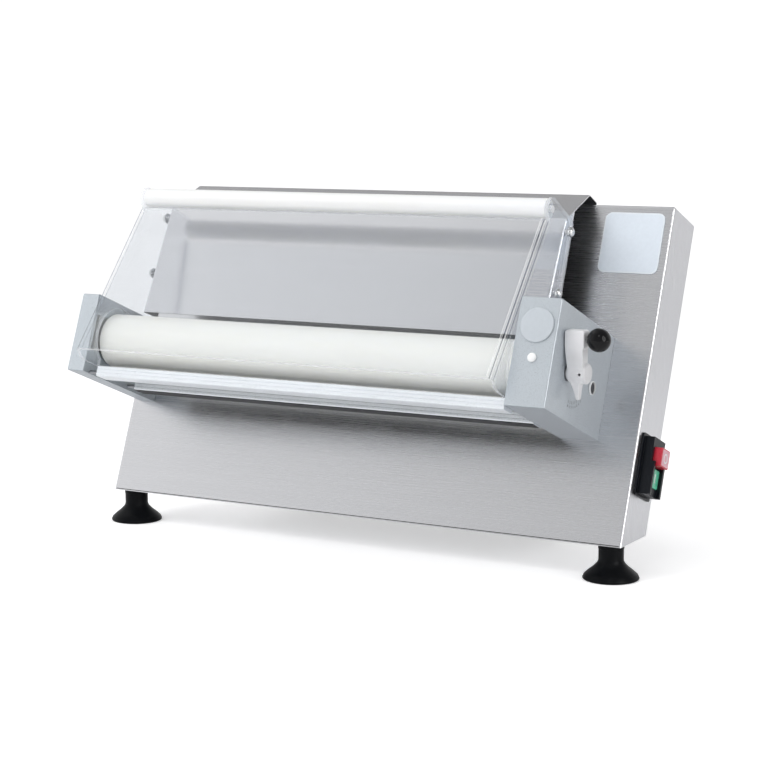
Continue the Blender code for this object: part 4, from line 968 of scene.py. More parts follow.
class Growth:
    """A Geometry Nodes tree with named inputs, for shapes that repeat."""

    def __init__(self, name: str) -> None:
        """Start a tree with a Geometry input and output.

        Args:
            name: The tree's name.
        """
        self.group = bpy.data.node_groups.new(name, "GeometryNodeTree")
        self.group.interface.new_socket("Geometry", in_out="OUTPUT", socket_type="NodeSocketGeometry")
        self.source = self.group.nodes.new("NodeGroupInput")
        self.sink = self.group.nodes.new("NodeGroupOutput")
        self.keys: dict[str, str] = {}

    def number(self, name: str, kind: str = "Float") -> Any:
        """Add a named input.

        Args:
            name: The input's name.
            kind: Float, Int, Vector, Material or Object.

        Returns:
            The input's socket inside the tree.
        """
        item = self.group.interface.new_socket(name, in_out="INPUT", socket_type=f"NodeSocket{kind}")
        self.keys[name] = item.identifier
        return self.source.outputs[name]

    def add(self, kind: str, settings: Any = None, inputs: Any = (), output: int | str = 0) -> Any:
        """Add a node, set it, and link or fill its sockets.

        Args:
            kind: The node's type.
            settings: Properties set first, by name.
            inputs: Values in socket order, or a dict by socket name.
            output: Which output is returned.

        Returns:
            The output socket.
        """
        node = self.group.nodes.new(kind)
        for name, value in (settings or {}).items():
            setattr(node, name, value)
        pairs = inputs.items() if isinstance(inputs, dict) else enumerate(inputs)
        for key, value in pairs:
            if isinstance(value, bpy.types.NodeSocket):
                self.group.links.new(value, node.inputs[key])
            else:
                node.inputs[key].default_value = value
        return node.outputs[output]

    def maths(self, operation: str, first: Any, second: Any) -> Any:
        """Add a Math node on two sockets or numbers."""
        return self.add("ShaderNodeMath", {"operation": operation}, (first, second))

    def on_grid(self, shape: Any, size: Sequence[Any], counts: Sequence[Any]) -> Any:
        """Put a shape at every point of an upright grid.

        Args:
            shape: The geometry to repeat.
            size: The grid's width and height.
            counts: Its columns and rows.

        Returns:
            The instances.
        """
        inputs = {"Size X": size[0], "Size Y": size[1], "Vertices X": counts[0], "Vertices Y": counts[1]}
        grid = self.add("GeometryNodeMeshGrid", {}, inputs, "Mesh")
        upright = self.add("GeometryNodeTransform", {}, {"Geometry": grid, "Rotation": QUARTER_X})
        return self.add("GeometryNodeInstanceOnPoints", {}, {"Points": upright, "Instance": shape})

    def end(self, geometry: Any) -> None:
        """Close the tree with Realize Instances and Set Material.

        Args:
            geometry: The geometry to put out.
        """
        whole = self.add("GeometryNodeRealizeInstances", {}, (geometry,))
        finish = self.number("Finish", "Material")
        made = self.add("GeometryNodeSetMaterial", {}, {"Geometry": whole, "Material": finish})
        self.group.links.new(made, self.sink.inputs[0])

    def grow(self, name: str, finish: Finish, matrix: Matrix, **values: Any) -> Any:
        """Run the tree and keep its result as a plain mesh.

        Args:
            name: The piece's name.
            finish: Its finish.
            matrix: Moves the result to the object's frame.
            values: The tree's inputs, with _ for a space.

        Returns:
            The piece.
        """
        item = in_scene(name, bpy.data.meshes.new(name))
        modifier = item.modifiers.new("grow", "NODES")
        modifier.node_group = self.group
        modifier[self.keys["Finish"]] = finish.material()
        for key, value in values.items():
            modifier[self.keys[key.replace("_", " ")]] = value
        settle(item)
        item.data.transform(matrix)
        shade_smooth(item.data, SHARP)
        return item


def slot_tree() -> Growth:
    """Round rods in columns and rows, as solids to cut slots with.

    Returns:
        The tree.
    """
    tree = Growth("slots")
    columns, rows = tree.number("Columns", "Int"), tree.number("Rows", "Int")
    pitch_x, pitch_z = tree.number("Pitch X"), tree.number("Pitch Z")
    length, radius = tree.number("Length"), tree.number("Radius")
    half = tree.maths("MULTIPLY", length, 0.5)
    back = tree.maths("MULTIPLY", half, -1.0)
    start, end = (tree.add("ShaderNodeCombineXYZ", {}, (x, 0.0, 0.0)) for x in (back, half))
    line = tree.add("GeometryNodeCurvePrimitiveLine", {}, {"Start": start, "End": end}, "Curve")
    circle = {"Resolution": 12, "Radius": radius}
    section = tree.add("GeometryNodeCurvePrimitiveCircle", {}, circle, "Curve")
    slot = {"Curve": line, "Profile Curve": section, "Fill Caps": True}
    spans = ((pitch_x, columns), (pitch_z, rows))
    size = [tree.maths("MULTIPLY", pitch, tree.maths("SUBTRACT", count, 1.0)) for pitch, count in spans]
    tree.end(tree.on_grid(tree.add("GeometryNodeCurveToMesh", {}, slot), size, (columns, rows)))
    return tree


def screw_tree() -> Growth:
    """Button-head screws on a grid, each a low dome with a hexagon socket.

    Returns:
        The tree.
    """
    tree = Growth("screws")
    across, up = tree.number("Across"), tree.number("Up")
    radius, rise = tree.number("Radius"), tree.number("Rise")
    columns, rows = tree.number("Columns", "Int"), tree.number("Rows", "Int")
    ball = tree.add("GeometryNodeMeshUVSphere", {}, {"Segments": 32, "Rings": 16, "Radius": radius}, "Mesh")
    squash = tree.add("ShaderNodeCombineXYZ", {}, (1.0, 1.0, tree.maths("DIVIDE", rise, radius)))
    dome = tree.add("GeometryNodeTransform", {}, {"Geometry": ball, "Scale": squash})
    key, depth = tree.maths("MULTIPLY", radius, 0.45), tree.maths("MULTIPLY", rise, 1.3)
    prism = {"Vertices": 6, "Radius": key, "Depth": depth}
    hexagon = tree.add("GeometryNodeMeshCylinder", {}, prism, "Mesh")
    place = tree.add("ShaderNodeCombineXYZ", {}, (0.0, 0.0, rise))
    raised = tree.add("GeometryNodeTransform", {}, {"Geometry": hexagon, "Translation": place})
    cut = {"operation": "DIFFERENCE"}
    head = tree.add("GeometryNodeMeshBoolean", cut, {"Mesh 1": dome, "Mesh 2": raised}, "Mesh")
    outward = tree.add("GeometryNodeTransform", {}, {"Geometry": head, "Rotation": QUARTER_X})
    tree.end(tree.on_grid(outward, (across, up), (columns, rows)))
    return tree


def tick_tree() -> Growth:
    """Scale marks along an arc.

    Returns:
        The tree.
    """
    tree = Growth("scale_marks")
    count, radius = tree.number("Count", "Int"), tree.number("Radius")
    start, sweep = tree.number("Start"), tree.number("Sweep")
    length, width, rise = tree.number("Length"), tree.number("Width"), tree.number("Rise")
    turn = {"Resolution": count, "Radius": radius, "Start Angle": start, "Sweep Angle": sweep}
    bow = tree.add("GeometryNodeCurveArc", {"mode": "RADIUS"}, turn, "Curve")
    points = tree.add("GeometryNodeCurveToPoints", {"mode": "EVALUATED"}, {"Curve": bow}, "Points")
    where = tree.add("GeometryNodeInputPosition")
    facing = tree.add("FunctionNodeAlignEulerToVector", {"axis": "X"}, {"Vector": where})
    size = tree.add("ShaderNodeCombineXYZ", {}, (length, width, rise))
    bar = tree.add("GeometryNodeMeshCube", {}, {"Size": size}, "Mesh")
    placed = {"Points": points, "Instance": bar, "Rotation": facing}
    tree.end(tree.add("GeometryNodeInstanceOnPoints", {}, placed))
    return tree


# ---------------------------------------------------------------------------------------------------------
# Sub-assemblies


@dataclass
class Cabinet:
    """The leaning cabinet with its back panel, tray, rear housing, plates, vents and screws."""

    lean: Leaning
    width: float = 0.680
    height: float = 0.3886
    depth: float = 0.0665
    bend: float = 0.0028
    hem: float = 0.0013
    # Painted shade: the band just above the front's bottom edge that gets a near-black strip.
    hem_line: Pair = (0.0011, 0.0019)
    window: Pair = (0.119, 0.177)
    window_reach: float = 0.05
    window_room: float = 0.003
    housing_bend: float = 0.0012
    vents_up: float = 0.125
    panel_up: float = 0.205
    screw: float = 0.0038
    screw_rise: float = 0.0018
    screw_up: float = 0.016

    def shell(self) -> Any:
        """The folded front, top and sides with round bends, and the window for the idler gear.

        Returns:
            The piece.
        """
        half = self.width / 2
        foot = self.depth * math.tan(LEAN)
        outline = [(0.0, 0.0), (0.0, self.height), (-self.depth, self.height), (-self.depth, foot)]
        shape = extrude(outline, -half, half, Plane.ALONG_X)
        edges = []
        for edge in shape.edges:
            ends = [vert.co for vert in edge.verts]
            front = all(abs(co.y) < NEAR for co in ends)
            top = all(abs(co.z - self.height) < NEAR for co in ends)
            low = all(co.z < NEAR for co in ends)
            back = all(co.y > self.depth - NEAR for co in ends)
            if (front or top) and not (low or back):
                edges.append(edge)
        round_edges(shape, edges, self.bend, 6)
        hem = [edge for edge in shape.edges if all(vert.co.z < NEAR for vert in edge.verts)]
        round_edges(shape, hem, self.hem, 4)
        shape.normal_update()
        gone = []
        for face in shape.faces:
            spread = [vert.co.y for vert in face.verts]
            bottom = face.normal.z < -0.5 and max(spread) - min(spread) > 0.01
            if min(spread) > self.depth - NEAR or bottom:
                gone.append(face)
        bmesh.ops.delete(shape, geom=gone, context="FACES")
        shell = new_object("cabinet_shell_folded", shape, CABINET_STEEL, self.lean.matrix)
        thicken(shell, SHEET)
        left, right = self.lean.ends("idler_gear")
        (low, high), reach = self.window, self.window_reach
        opening = [(-reach, low), (reach, low), (reach, high), (-reach, high)]
        window = extrude(opening, left - self.window_room, right + self.window_room, Plane.ALONG_X)
        return carve(shell, [new_object("window_cutter", window, CABINET_STEEL, self.lean.matrix)])

    def build(self) -> None:
        """Make and hang every piece of the cabinet."""
        fit(self.shell(), "base", "cabinet_shell")
        fit(node_copy("back_panel", CABINET_STEEL, 0.0005), "base", "back_panel")
        fit(self.housing(), "base", "rear_housing")
        dress("base_tray", CABINET_STEEL)
        # Painted shade: a thin near-black strip laid on the front just above its bottom edge, standing for the
        # shade of the folded hem.
        half = self.width / 2 - self.bend
        low, high = self.hem_line
        outline = [(-half, low), (half, low), (half, high), (-half, high)]
        hem_shade_strip = extrude(outline, -0.0002, 0.00003, Plane.OUTWARD)
        fit(new_object("front_hem_painted_shade", hem_shade_strip, DEEP_SHADE_PAINTED_STEEL, self.lean.matrix), "base", slot="cabinet_steel")
        self.screws()

    def housing(self) -> Any:
        """The rear housing with three columns of vent slots cut through its back.

        Returns:
            The piece.
        """
        low, high = box_of("rear_housing")
        middle = Matrix.Translation(((low.x + high.x) / 2, high.y, self.vents_up))
        grid = {"Columns": 3, "Rows": 6, "Pitch_X": 0.085, "Pitch_Z": 0.0115}
        slots = slot_tree().grow("slot_cutter", HOUSING_STEEL, middle, Length=0.060, Radius=0.0022, **grid)
        return carve(node_copy("rear_housing", HOUSING_STEEL, self.housing_bend), [slots])

    def screws(self) -> None:
        """Screws that hold the back panel and the housing."""
        tree = screw_tree()
        turn = Matrix.Rotation(math.pi, 4, "Z")
        head = {"Radius": self.screw, "Rise": self.screw_rise}
        low, high = box_of("rear_housing")
        panel = self.lean.matrix @ Matrix.Translation((0.0, self.depth, self.panel_up)) @ turn
        middle = Vector(((low.x + high.x) / 2, high.y - self.screw_rise, low.z + self.screw_up))
        back = Matrix.Translation(middle) @ turn
        sets = (
            ("panel_screws", panel, {"Across": 0.62, "Up": 0.30, "Columns": 2, "Rows": 2}),
            ("housing_screws", back, {"Across": 0.36, "Up": 0.0, "Columns": 3, "Rows": 1}),
        )
        for name, place, grid in sets:
            fit(tree.grow(name, CHROME, place, **head, **grid), "base", slot="nut_chrome")


def corner_plan(near: float, radius: float, steps: int) -> list[Pair]:
    """A quarter bend seen from above, from a side face to the front.

    Args:
        near: The side face's x.
        radius: The bend's radius.
        steps: Its segments.

    Returns:
        Its points as x and depth behind the front.
    """
    turns = [math.pi / 2 * k / steps for k in range(steps + 1)]
    return [(near + radius * (1 - math.cos(t)), radius * (1 - math.sin(t))) for t in turns]


@dataclass
class Hood:
    """The chute plate with flanges round upright folds, and its sloping top with a short return."""

    lean: Leaning
    foot: Pair = (0.071, 0.2118)
    fold: Pair = (0.0575, 0.3515)
    apex: Pair = (0.0080, 0.3966)
    tail: Pair = (-0.0139, 0.3950)
    hem: Pair = (-0.0145, 0.3893)
    flange_back: float = 0.041
    bend: float = 0.0035
    fold_bend: float = 0.0020
    hem_bend: float = 0.0012
    inner_top: float = 0.35
    inner_front: float = 0.0745

    def plate(self, left: float, right: float, top: Pair) -> Shape:
        """The chute plate and its flanges as one open sheet through the metal's middle.

        Args:
            left: The left flange's outer face.
            right: The right flange's outer face.
            top: Where the plate ends, at the foot of the sloping top.

        Returns:
            The sheet in the leaning frame.
        """
        shape = bmesh.new()
        start, end = Vector(self.foot), Vector(top)
        run = (end - start).normalized()
        inward = Vector((-run.y, run.x))
        near = left + SHEET / 2
        plan = corner_plan(near, self.fold_bend, 8)
        plan += [(left + right - x, depth) for x, depth in plan[::-1]]
        rows = []
        for on in (start, end):
            points = [on + inward * depth for _, depth in plan]
            rows.append([shape.verts.new((x, -point.x, point.y)) for (x, _), point in zip(plan, points)])
        for k in range(len(plan) - 1):
            shape.faces.new([rows[0][k], rows[0][k + 1], rows[1][k + 1], rows[1][k]])
        rise = (self.apex[1] - self.fold[1]) / (self.fold[0] - self.apex[0])
        for column in (0, -1):
            low, high = rows[0][column], rows[1][column]
            places = (-high.co.y, self.flange_back)
            edge = [(w, self.fold[1] + (self.fold[0] - w) * rise - SHEET / 2) for w in places]
            edge.append((self.flange_back, self.foot[1] + SHEET))
            shape.faces.new([low, high] + [shape.verts.new((low.co.x, -w, v)) for w, v in edge])
        bmesh.ops.recalc_face_normals(shape, faces=shape.faces)
        return shape

    def build(self) -> None:
        """Make and hang the hood, with painted shade on its inner side: a dark copy of its steel on the faces
        that look down or back.
        """
        left, right = self.lean.ends("chute_hood")
        corners = [self.foot, self.fold, self.apex, self.tail, self.hem]
        line = rounded(corners, [self.bend, self.bend * 0.7, self.hem_bend])
        skin = new_object("chute_skin", self.plate(left, right, line[1]), CHUTE_STEEL)
        thicken(skin, SHEET, offset=0.0)
        whole = bmesh.new()
        whole.from_mesh(skin.data)
        bpy.data.objects.remove(skin, do_unlink=True)
        extrude(strip_outline(line[1:], SHEET), left, right, Plane.ALONG_X, whole)
        hood = smooth(new_object("chute_hood_folded", whole, CHUTE_STEEL, self.lean.matrix), 25.0)
        # Painted shade: faces under the hood, and those facing the cabinet below its top, get the dark steel.
        hood.data.materials.append(SHADE_PAINTED_STEEL.material())
        for face in hood.data.polygons:
            way, place = self.lean.upright @ face.normal, self.lean.matrix.inverted() @ face.center
            behind = way.y > 0.5 and place.z < self.inner_top and place.y > -self.inner_front
            if abs(way.x) < 0.3 and (way.z < -0.3 or behind):
                face.material_index = 1
        fit(hood, "base", "chute_hood")


@dataclass
class Guard:
    """The clear guard, bent from one sheet round its front corners, with its dome nuts and the white rod."""

    lean: Leaning
    sheet: float = 0.0040
    bend: float = 0.0080
    rod_at: Pair = (0.1060, 0.3467)
    ear: float = 0.0128
    top: Pair = (0.1155, 0.3326)
    foot: Pair = (0.1810, 0.1365)
    under: float = 0.1262
    back: float = 0.0475
    back_top: float = 0.3520
    back_foot: float = 0.2065
    notch_at: Pair = (0.10875, 0.165)
    notch: float = 0.03845
    notch_share: float = 0.63
    notch_end: float = 118.0
    rear_roller: float = 0.0735
    spigot: float = 0.0046
    nut: float = 0.0064
    nut_rise: float = 0.0055
    stud: float = 0.0024
    bolt_hole: float = 0.0029
    rod_hub: float = 0.0042
    rod_edge: float = 0.0016
    rod_play: float = 0.0003
    # The finish of each column of the left and right bends: 0 clear, 1 as the side plates, 2 painted
    # highlight, 3 painted dark reflection.
    left_looks: Sequence[int] = (1, 1, 3, 3, 3, 3, 0, 0, 0, 0, 0, 0)
    right_looks: Sequence[int] = (2, 0, 0, 3, 0, 2, 0, 0, 3, 0, 0, 2)
    places: Sequence[Pair] = ((0.0545, 0.3374), (0.0600, 0.2645))

    def side_line(self) -> list[Pair]:
        """One side plate's edge, from the front bend's foot round the back to its top.

        Returns:
            Its points in (w, v).
        """
        w, v = self.foot
        line = [(w - 0.0108, v - 0.0064), (w - 0.0165, v - 0.0090), (w - 0.0300, self.under)]
        line += [(self.notch_at[0] + self.notch_share * self.notch, self.under)]
        start = -math.degrees(math.acos(self.notch_share))
        line += arc(self.notch_at, self.notch, start, self.notch_end, 20)
        line += [(self.rear_roller, self.back_foot), (self.back, self.back_foot)]
        line += [(self.back, self.back_top - 0.004), (self.back + 0.004, self.back_top)]
        return line + arc(self.rod_at, self.ear, 100, -50, 18)

    def skin(self, left: float, right: float) -> Shape:
        """The guard's outer surface as one open sheet.

        Args:
            left: The left plate's outer face.
            right: The right plate's outer face.

        Returns:
            The sheet in the leaning frame.
        """
        shape = bmesh.new()
        run = (Vector(self.foot) - Vector(self.top)).normalized()
        inward = Vector((run.y, -run.x))
        rows = 12
        plan = corner_plan(left, self.bend, len(self.left_looks))
        plan += [(left + right - x, depth) for x, depth in plan[::-1]]
        grid = []
        for row in range(rows + 1):
            on = Vector(self.top).lerp(Vector(self.foot), row / rows)
            points = [on + inward * depth for _, depth in plan]
            grid.append([shape.verts.new((x, -point.x, point.y)) for (x, _), point in zip(plan, points)])
        # The bends' columns carry their painted highlights and painted dark reflections.
        looks = [*self.left_looks, 0, *self.right_looks]
        for upper, lower in zip(grid, grid[1:]):
            for k, look in enumerate(looks):
                face = shape.faces.new([upper[k], upper[k + 1], lower[k + 1], lower[k]])
                face.material_index = look
        for column, x in ((0, left), (-1, right)):
            front = [row[column] for row in grid]
            side = shape.faces.new(front + [shape.verts.new((x, -w, v)) for w, v in self.side_line()])
            side.material_index = 1
        bmesh.ops.recalc_face_normals(shape, faces=shape.faces)
        level = [face for face in shape.faces if abs(face.normal.x) < 0.1]
        if max(level, key=lambda face: face.calc_center_median().z).normal.y > 0:
            bmesh.ops.reverse_faces(shape, faces=shape.faces)
        return shape

    def panel(self) -> Any:
        """The guard with its thickness, polished edges and bored holes.

        Returns:
            The piece.
        """
        shape = self.skin(*self.lean.ends("guard"))
        mesh = bpy.data.meshes.new("guard_bent")
        shape.to_mesh(mesh)
        shape.free()
        mesh.transform(self.lean.matrix)
        looks = (ACRYLIC, ACRYLIC_SIDE, ACRYLIC_PAINTED_HIGHLIGHT, ACRYLIC_PAINTED_DARK, ACRYLIC_EDGE)
        for finish in looks:
            mesh.materials.append(finish.material())
        guard = in_scene("guard_bent", mesh)
        thicken(guard, self.sheet, use_even_offset=True, material_offset_rim=looks.index(ACRYLIC_EDGE))
        holes = [(self.rod_at, self.spigot)] + [(place, self.bolt_hole) for place in self.places]
        cutters = []
        for (w, v), radius in holes:
            bore = plug(-1.0, 1.0, radius, 40, Vector((0.0, -w, v)))
            cutters.append(new_object(f"guard_bore_{w:.3f}", bore, ACRYLIC_EDGE, self.lean.matrix))
        return carve(guard, cutters)

    def build(self) -> None:
        """Make and hang the guard, its nuts and its rod."""
        fit(self.panel(), "base", "guard")
        for side in ("left", "right"):
            self.nuts(side)
        self.rod()

    def nuts(self, side: str) -> None:
        """Dome nuts on washers at one side, with the bolt heads inside.

        Args:
            side: left or right.
        """
        left, right = self.lean.ends(f"guard_nut_{side}_upper")
        sign, tip = (-1.0, left) if side == "left" else (1.0, right)
        rise, wide, stud, length = self.nut_rise, self.nut, self.stud, right - left
        round_top, height = wide * 0.90, rise - 0.0011
        dome = [(-rise, 0.0), (-rise, wide), (-rise + 0.0009, wide), (-height, round_top)]
        turns = (0.2, 0.45, 0.7, 0.95, 1.2, 1.4)
        dome += [(-height + height * math.sin(t), round_top * math.cos(t) ** 0.8) for t in turns]
        dome += [(0.0, 0.0)]
        bolt = [(-rise, 0.0), (-rise, stud), (-length + 0.0020, stud)]
        bolt += [(-length + 0.0020, 0.0038), (-length, 0.0036), (-length, 0.0)]
        shape = bmesh.new()
        for w, v in self.places:
            for profile, segments in ((dome, 40), (bolt, 24)):
                lathe([(sign * a, r) for a, r in profile], segments, Along.X, Vector((tip, -w, v)), shape)
        piece = new_object(f"dome_nuts_{side}", shape, CHROME, self.lean.matrix)
        fit(piece, "base", f"guard_nut_{side}_upper", f"guard_nut_{side}_lower")

    def rod(self) -> None:
        """The white rod with its turned end shoulders and spigots."""
        low, high = box_of("guard_rod")
        radius, half = (high.z - low.z) / 2, (high.x - low.x) / 2
        body, hub, edge = half - self.sheet - self.rod_play, self.rod_hub, self.rod_edge
        profile = [(-half, 0.0), (-half, hub - 0.0002), (-half + 0.0003, hub), (-body, hub)]
        profile += [(-body, radius - edge)]
        profile += [(-body + edge - x, radius - edge + r) for x, r in arc((0.0, 0.0), edge, 0, 90, 6)]
        profile += [(-x, r) for x, r in profile[::-1]]
        piece = new_object("rod_turned", lathe(profile, 96, Along.X, (low + high) / 2), ROD_WHITE)
        fit(piece, "guard_rod", "guard_rod")


@dataclass
class EndBox:
    """A folded cover over the bearings at one end."""

    lean: Leaning
    side: str
    low: float
    high: float
    top: float
    depth: float = 0.1525
    bottom: float = 0.115
    sheet: float = 0.0015
    bend: float = 0.0017
    back: float = 0.0003
    bush_hole: float = 0.0096
    shaft_hole: float = 0.0060

    def is_open(self, part: Any, inner: float) -> bool:
        """Whether an edge or a face lies in the cover's open back or open inner side.

        Args:
            part: The edge or face.
            inner: The inner side's x.

        Returns:
            True where it does.
        """
        ends = [vert.co for vert in part.verts]
        return all(co.y > -self.back - NEAR for co in ends) or all(abs(co.x - inner) < NEAR for co in ends)

    def build(self) -> None:
        """Make and hang the cover."""
        inner, outer = (self.low, self.high) if self.side == "right" else (self.high, self.low)
        low, high = (self.back, self.bottom), (self.depth, self.top)
        outline = [low, (self.depth, self.bottom), high, (self.back, self.top)]
        shape = extrude(outline, self.low, self.high, Plane.ALONG_X)
        edges = []
        for edge in shape.edges:
            ends = [vert.co for vert in edge.verts]
            front = all(co.y < NEAR - self.depth for co in ends)
            side = all(abs(co.x - outer) < NEAR for co in ends)
            if (front or side) and not self.is_open(edge, inner):
                edges.append(edge)
        round_edges(shape, edges, self.bend, 6)
        gone = [face for face in shape.faces if self.is_open(face, inner)]
        bmesh.ops.delete(shape, geom=gone, context="FACES")
        cover = new_object(f"{self.side}_cover_folded", shape, BOX_PAINT, self.lean.matrix)
        thicken(cover, self.sheet)
        cover = carve(cover, self.holes()) if self.side == "right" else smooth(cover)
        # Painted shade on the cover's down-facing faces.
        shade_facing(cover, BOX_SHADE_PAINTED, self.lean, DOWN)
        fit(cover, "base", f"{self.side}_box_cover")
        dress(f"{self.side}_bearing_plate", BOX_PAINT)

    def holes(self) -> list[Any]:
        """Cutters for the lever's bush and the rear shaft's end.

        Returns:
            The cutters.
        """
        made = []
        for node, radius in (("lever_bush", self.bush_hole), ("shaft_cap", self.shaft_hole)):
            shape = plug(-0.02, 0.02, radius, 48, middle_of(node))
            made.append(new_object(f"{node}_cutter", shape, BOX_PAINT))
        return made


@dataclass
class Rollers:
    """Both white rollers with their shafts, gears, bushes, blocks and yokes."""

    radius: float = 0.032
    edge: float = 0.0030
    bore: float = 0.0163

    def build(self) -> None:
        """Make and hang the sleeves and finish the steel pieces."""
        for which in ("front", "rear"):
            fit(self.sleeve(which), f"{which}_roller", f"{which}_roller")
            dress(f"{which}_roller_shaft", PLAIN_STEEL)
            dress(f"{which}_roller_gear", PLAIN_STEEL)
            for side in ("left", "right"):
                dress(f"{which}_bush_{side}", BRONZE)
        for node in ("left_bearing_block", "right_bearing_block", "left_yoke", "right_yoke"):
            dress(node, PLAIN_STEEL)

    def sleeve(self, which: str) -> Any:
        """One white sleeve with rounded ends.

        Args:
            which: front or rear.

        Returns:
            The piece.
        """
        low, high = box_of(f"{which}_roller")
        half, edge = (high.x - low.x) / 2, self.edge
        end = [(-half, self.bore), (-half, self.radius - edge)]
        end += [(-half + edge - x, self.radius - edge + r) for x, r in arc((0.0, 0.0), edge, 0, 90, 10)][1:]
        profile = end + [(-x, r) for x, r in end[::-1]]
        return new_object(f"{which}_sleeve", lathe(profile, 192, Along.X, (low + high) / 2), ROLLER_WHITE)


@dataclass
class Feet:
    """Four rubber feet with a neck, a conical skirt and a rolled rim."""

    names: Sequence[str] = ("front_left", "front_right", "rear_left", "rear_right")
    lip: float = 0.0018
    neck: float = 0.447
    skirt: Sequence[Pair] = (
        (0.0052, 0.955),
        (0.0098, 0.790),
        (0.0137, 0.629),
        (0.0180, 0.498),
        (0.0205, 0.457),
    )
    skirt_top: float = 0.0225
    collar: Pair = (0.0340, 0.0385)
    collar_rise: float = 0.0004

    def build(self) -> None:
        """Make and hang the feet."""
        for name in self.names:
            node = f"foot_{name}"
            low, high = box_of(node)
            centre = Vector(((low.x + high.x) / 2, (low.y + high.y) / 2, 0.0))
            rim, lip = (high.x - low.x) / 2, self.lip
            profile = [(0.0004, 0.0), (0.0004, rim - 0.0060), (0.0, rim - 0.0045), (0.0, rim - 0.0020)]
            profile += [(lip + z, rim - lip + r) for r, z in arc((0.0, 0.0), lip, -80, 50, 8)]
            profile += [(z, rim * share) for z, share in (*self.skirt, (self.skirt_top, self.neck))]
            neck, wide = rim * self.neck, rim * self.neck + self.collar_rise
            bottom, top = self.collar
            profile += [(bottom, neck), (bottom + self.collar_rise, wide), (top, wide)]
            profile += [(high.z, neck), (high.z, 0.0)]
            shape = lathe(profile, 128, Along.Z, centre)
            fit(new_object(f"{node}_moulded", shape, FOOT_RUBBER, sharp=40.0), "base", node)


@dataclass
class Scrapers:
    """Two drawn bars with rounded left ends on pins, each with a thin blade."""

    lean: Leaning
    front: Pair = (0.128, 0.111)
    rear: Pair = (0.050, 0.1135)
    depth: float = 0.022
    height: float = 0.0128
    edge: float = 0.0024
    inset: float = 0.0180
    pin: float = 0.0021
    grooves: Sequence[Pair] = ((0.0040, 0.0048), (0.0083, 0.0088))
    groove_depth: float = 0.0006
    groove_slope: float = 0.0001

    def outline(self, corner: Pair) -> list[Pair]:
        """The bar's section: rounded edges and two grooves along its front face.

        Args:
            corner: Its low back corner.

        Returns:
            The outline in (w, v).
        """
        w, v = corner
        line = rounded_box((0.0, 0.0), (self.depth, self.height), self.edge, 6)
        cut = len(line) // 4
        floor, slope = self.depth - self.groove_depth, self.groove_slope
        face = []
        for low, high in self.grooves:
            face += [(self.depth, low), (floor, low + slope), (floor, high - slope), (self.depth, high)]
        line = line[:cut] + face + line[cut:]
        return [(w + a, v + b) for a, b in line]

    def build(self) -> None:
        """Make and hang the bars and finish the blades."""
        for which, (w, v) in (("front", self.front), ("rear", self.rear)):
            node = f"{which}_scraper_bar"
            left, right = self.lean.ends(node)
            shape = extrude(self.outline((w, v)), left + self.inset, right, Plane.ALONG_X)
            bar = new_object(f"{which}_bar_drawn", shape, ALUMINIUM, self.lean.matrix, sharp=25.0)
            soften(bar, 0.0009, 3, 60.0)
            # Painted shade on faces that are never seen straight on: the rear bar's under and back faces near
            # black, the front bar's back dark grey, so that the cabinet's front mirrors them dark.
            if which == "rear":
                shade_facing(bar, DEEP_SHADE_PAINTED_STEEL, self.lean, DOWN, BACK)
            else:
                shade_facing(bar, SHADE_PAINTED_STEEL, self.lean, BACK)
            middle = Vector((left, -(w + self.depth / 2), v + self.height / 2))
            pin = plug(0.0, self.inset + 0.0002, self.pin, 32, middle)
            peg = new_object(f"{which}_bar_pin", pin, PIN_STEEL, self.lean.matrix)
            fit(bar, "base", node)
            fit(peg, "base", slot="plain_steel")
            dress(f"{which}_scraper_blade", PLAIN_STEEL)


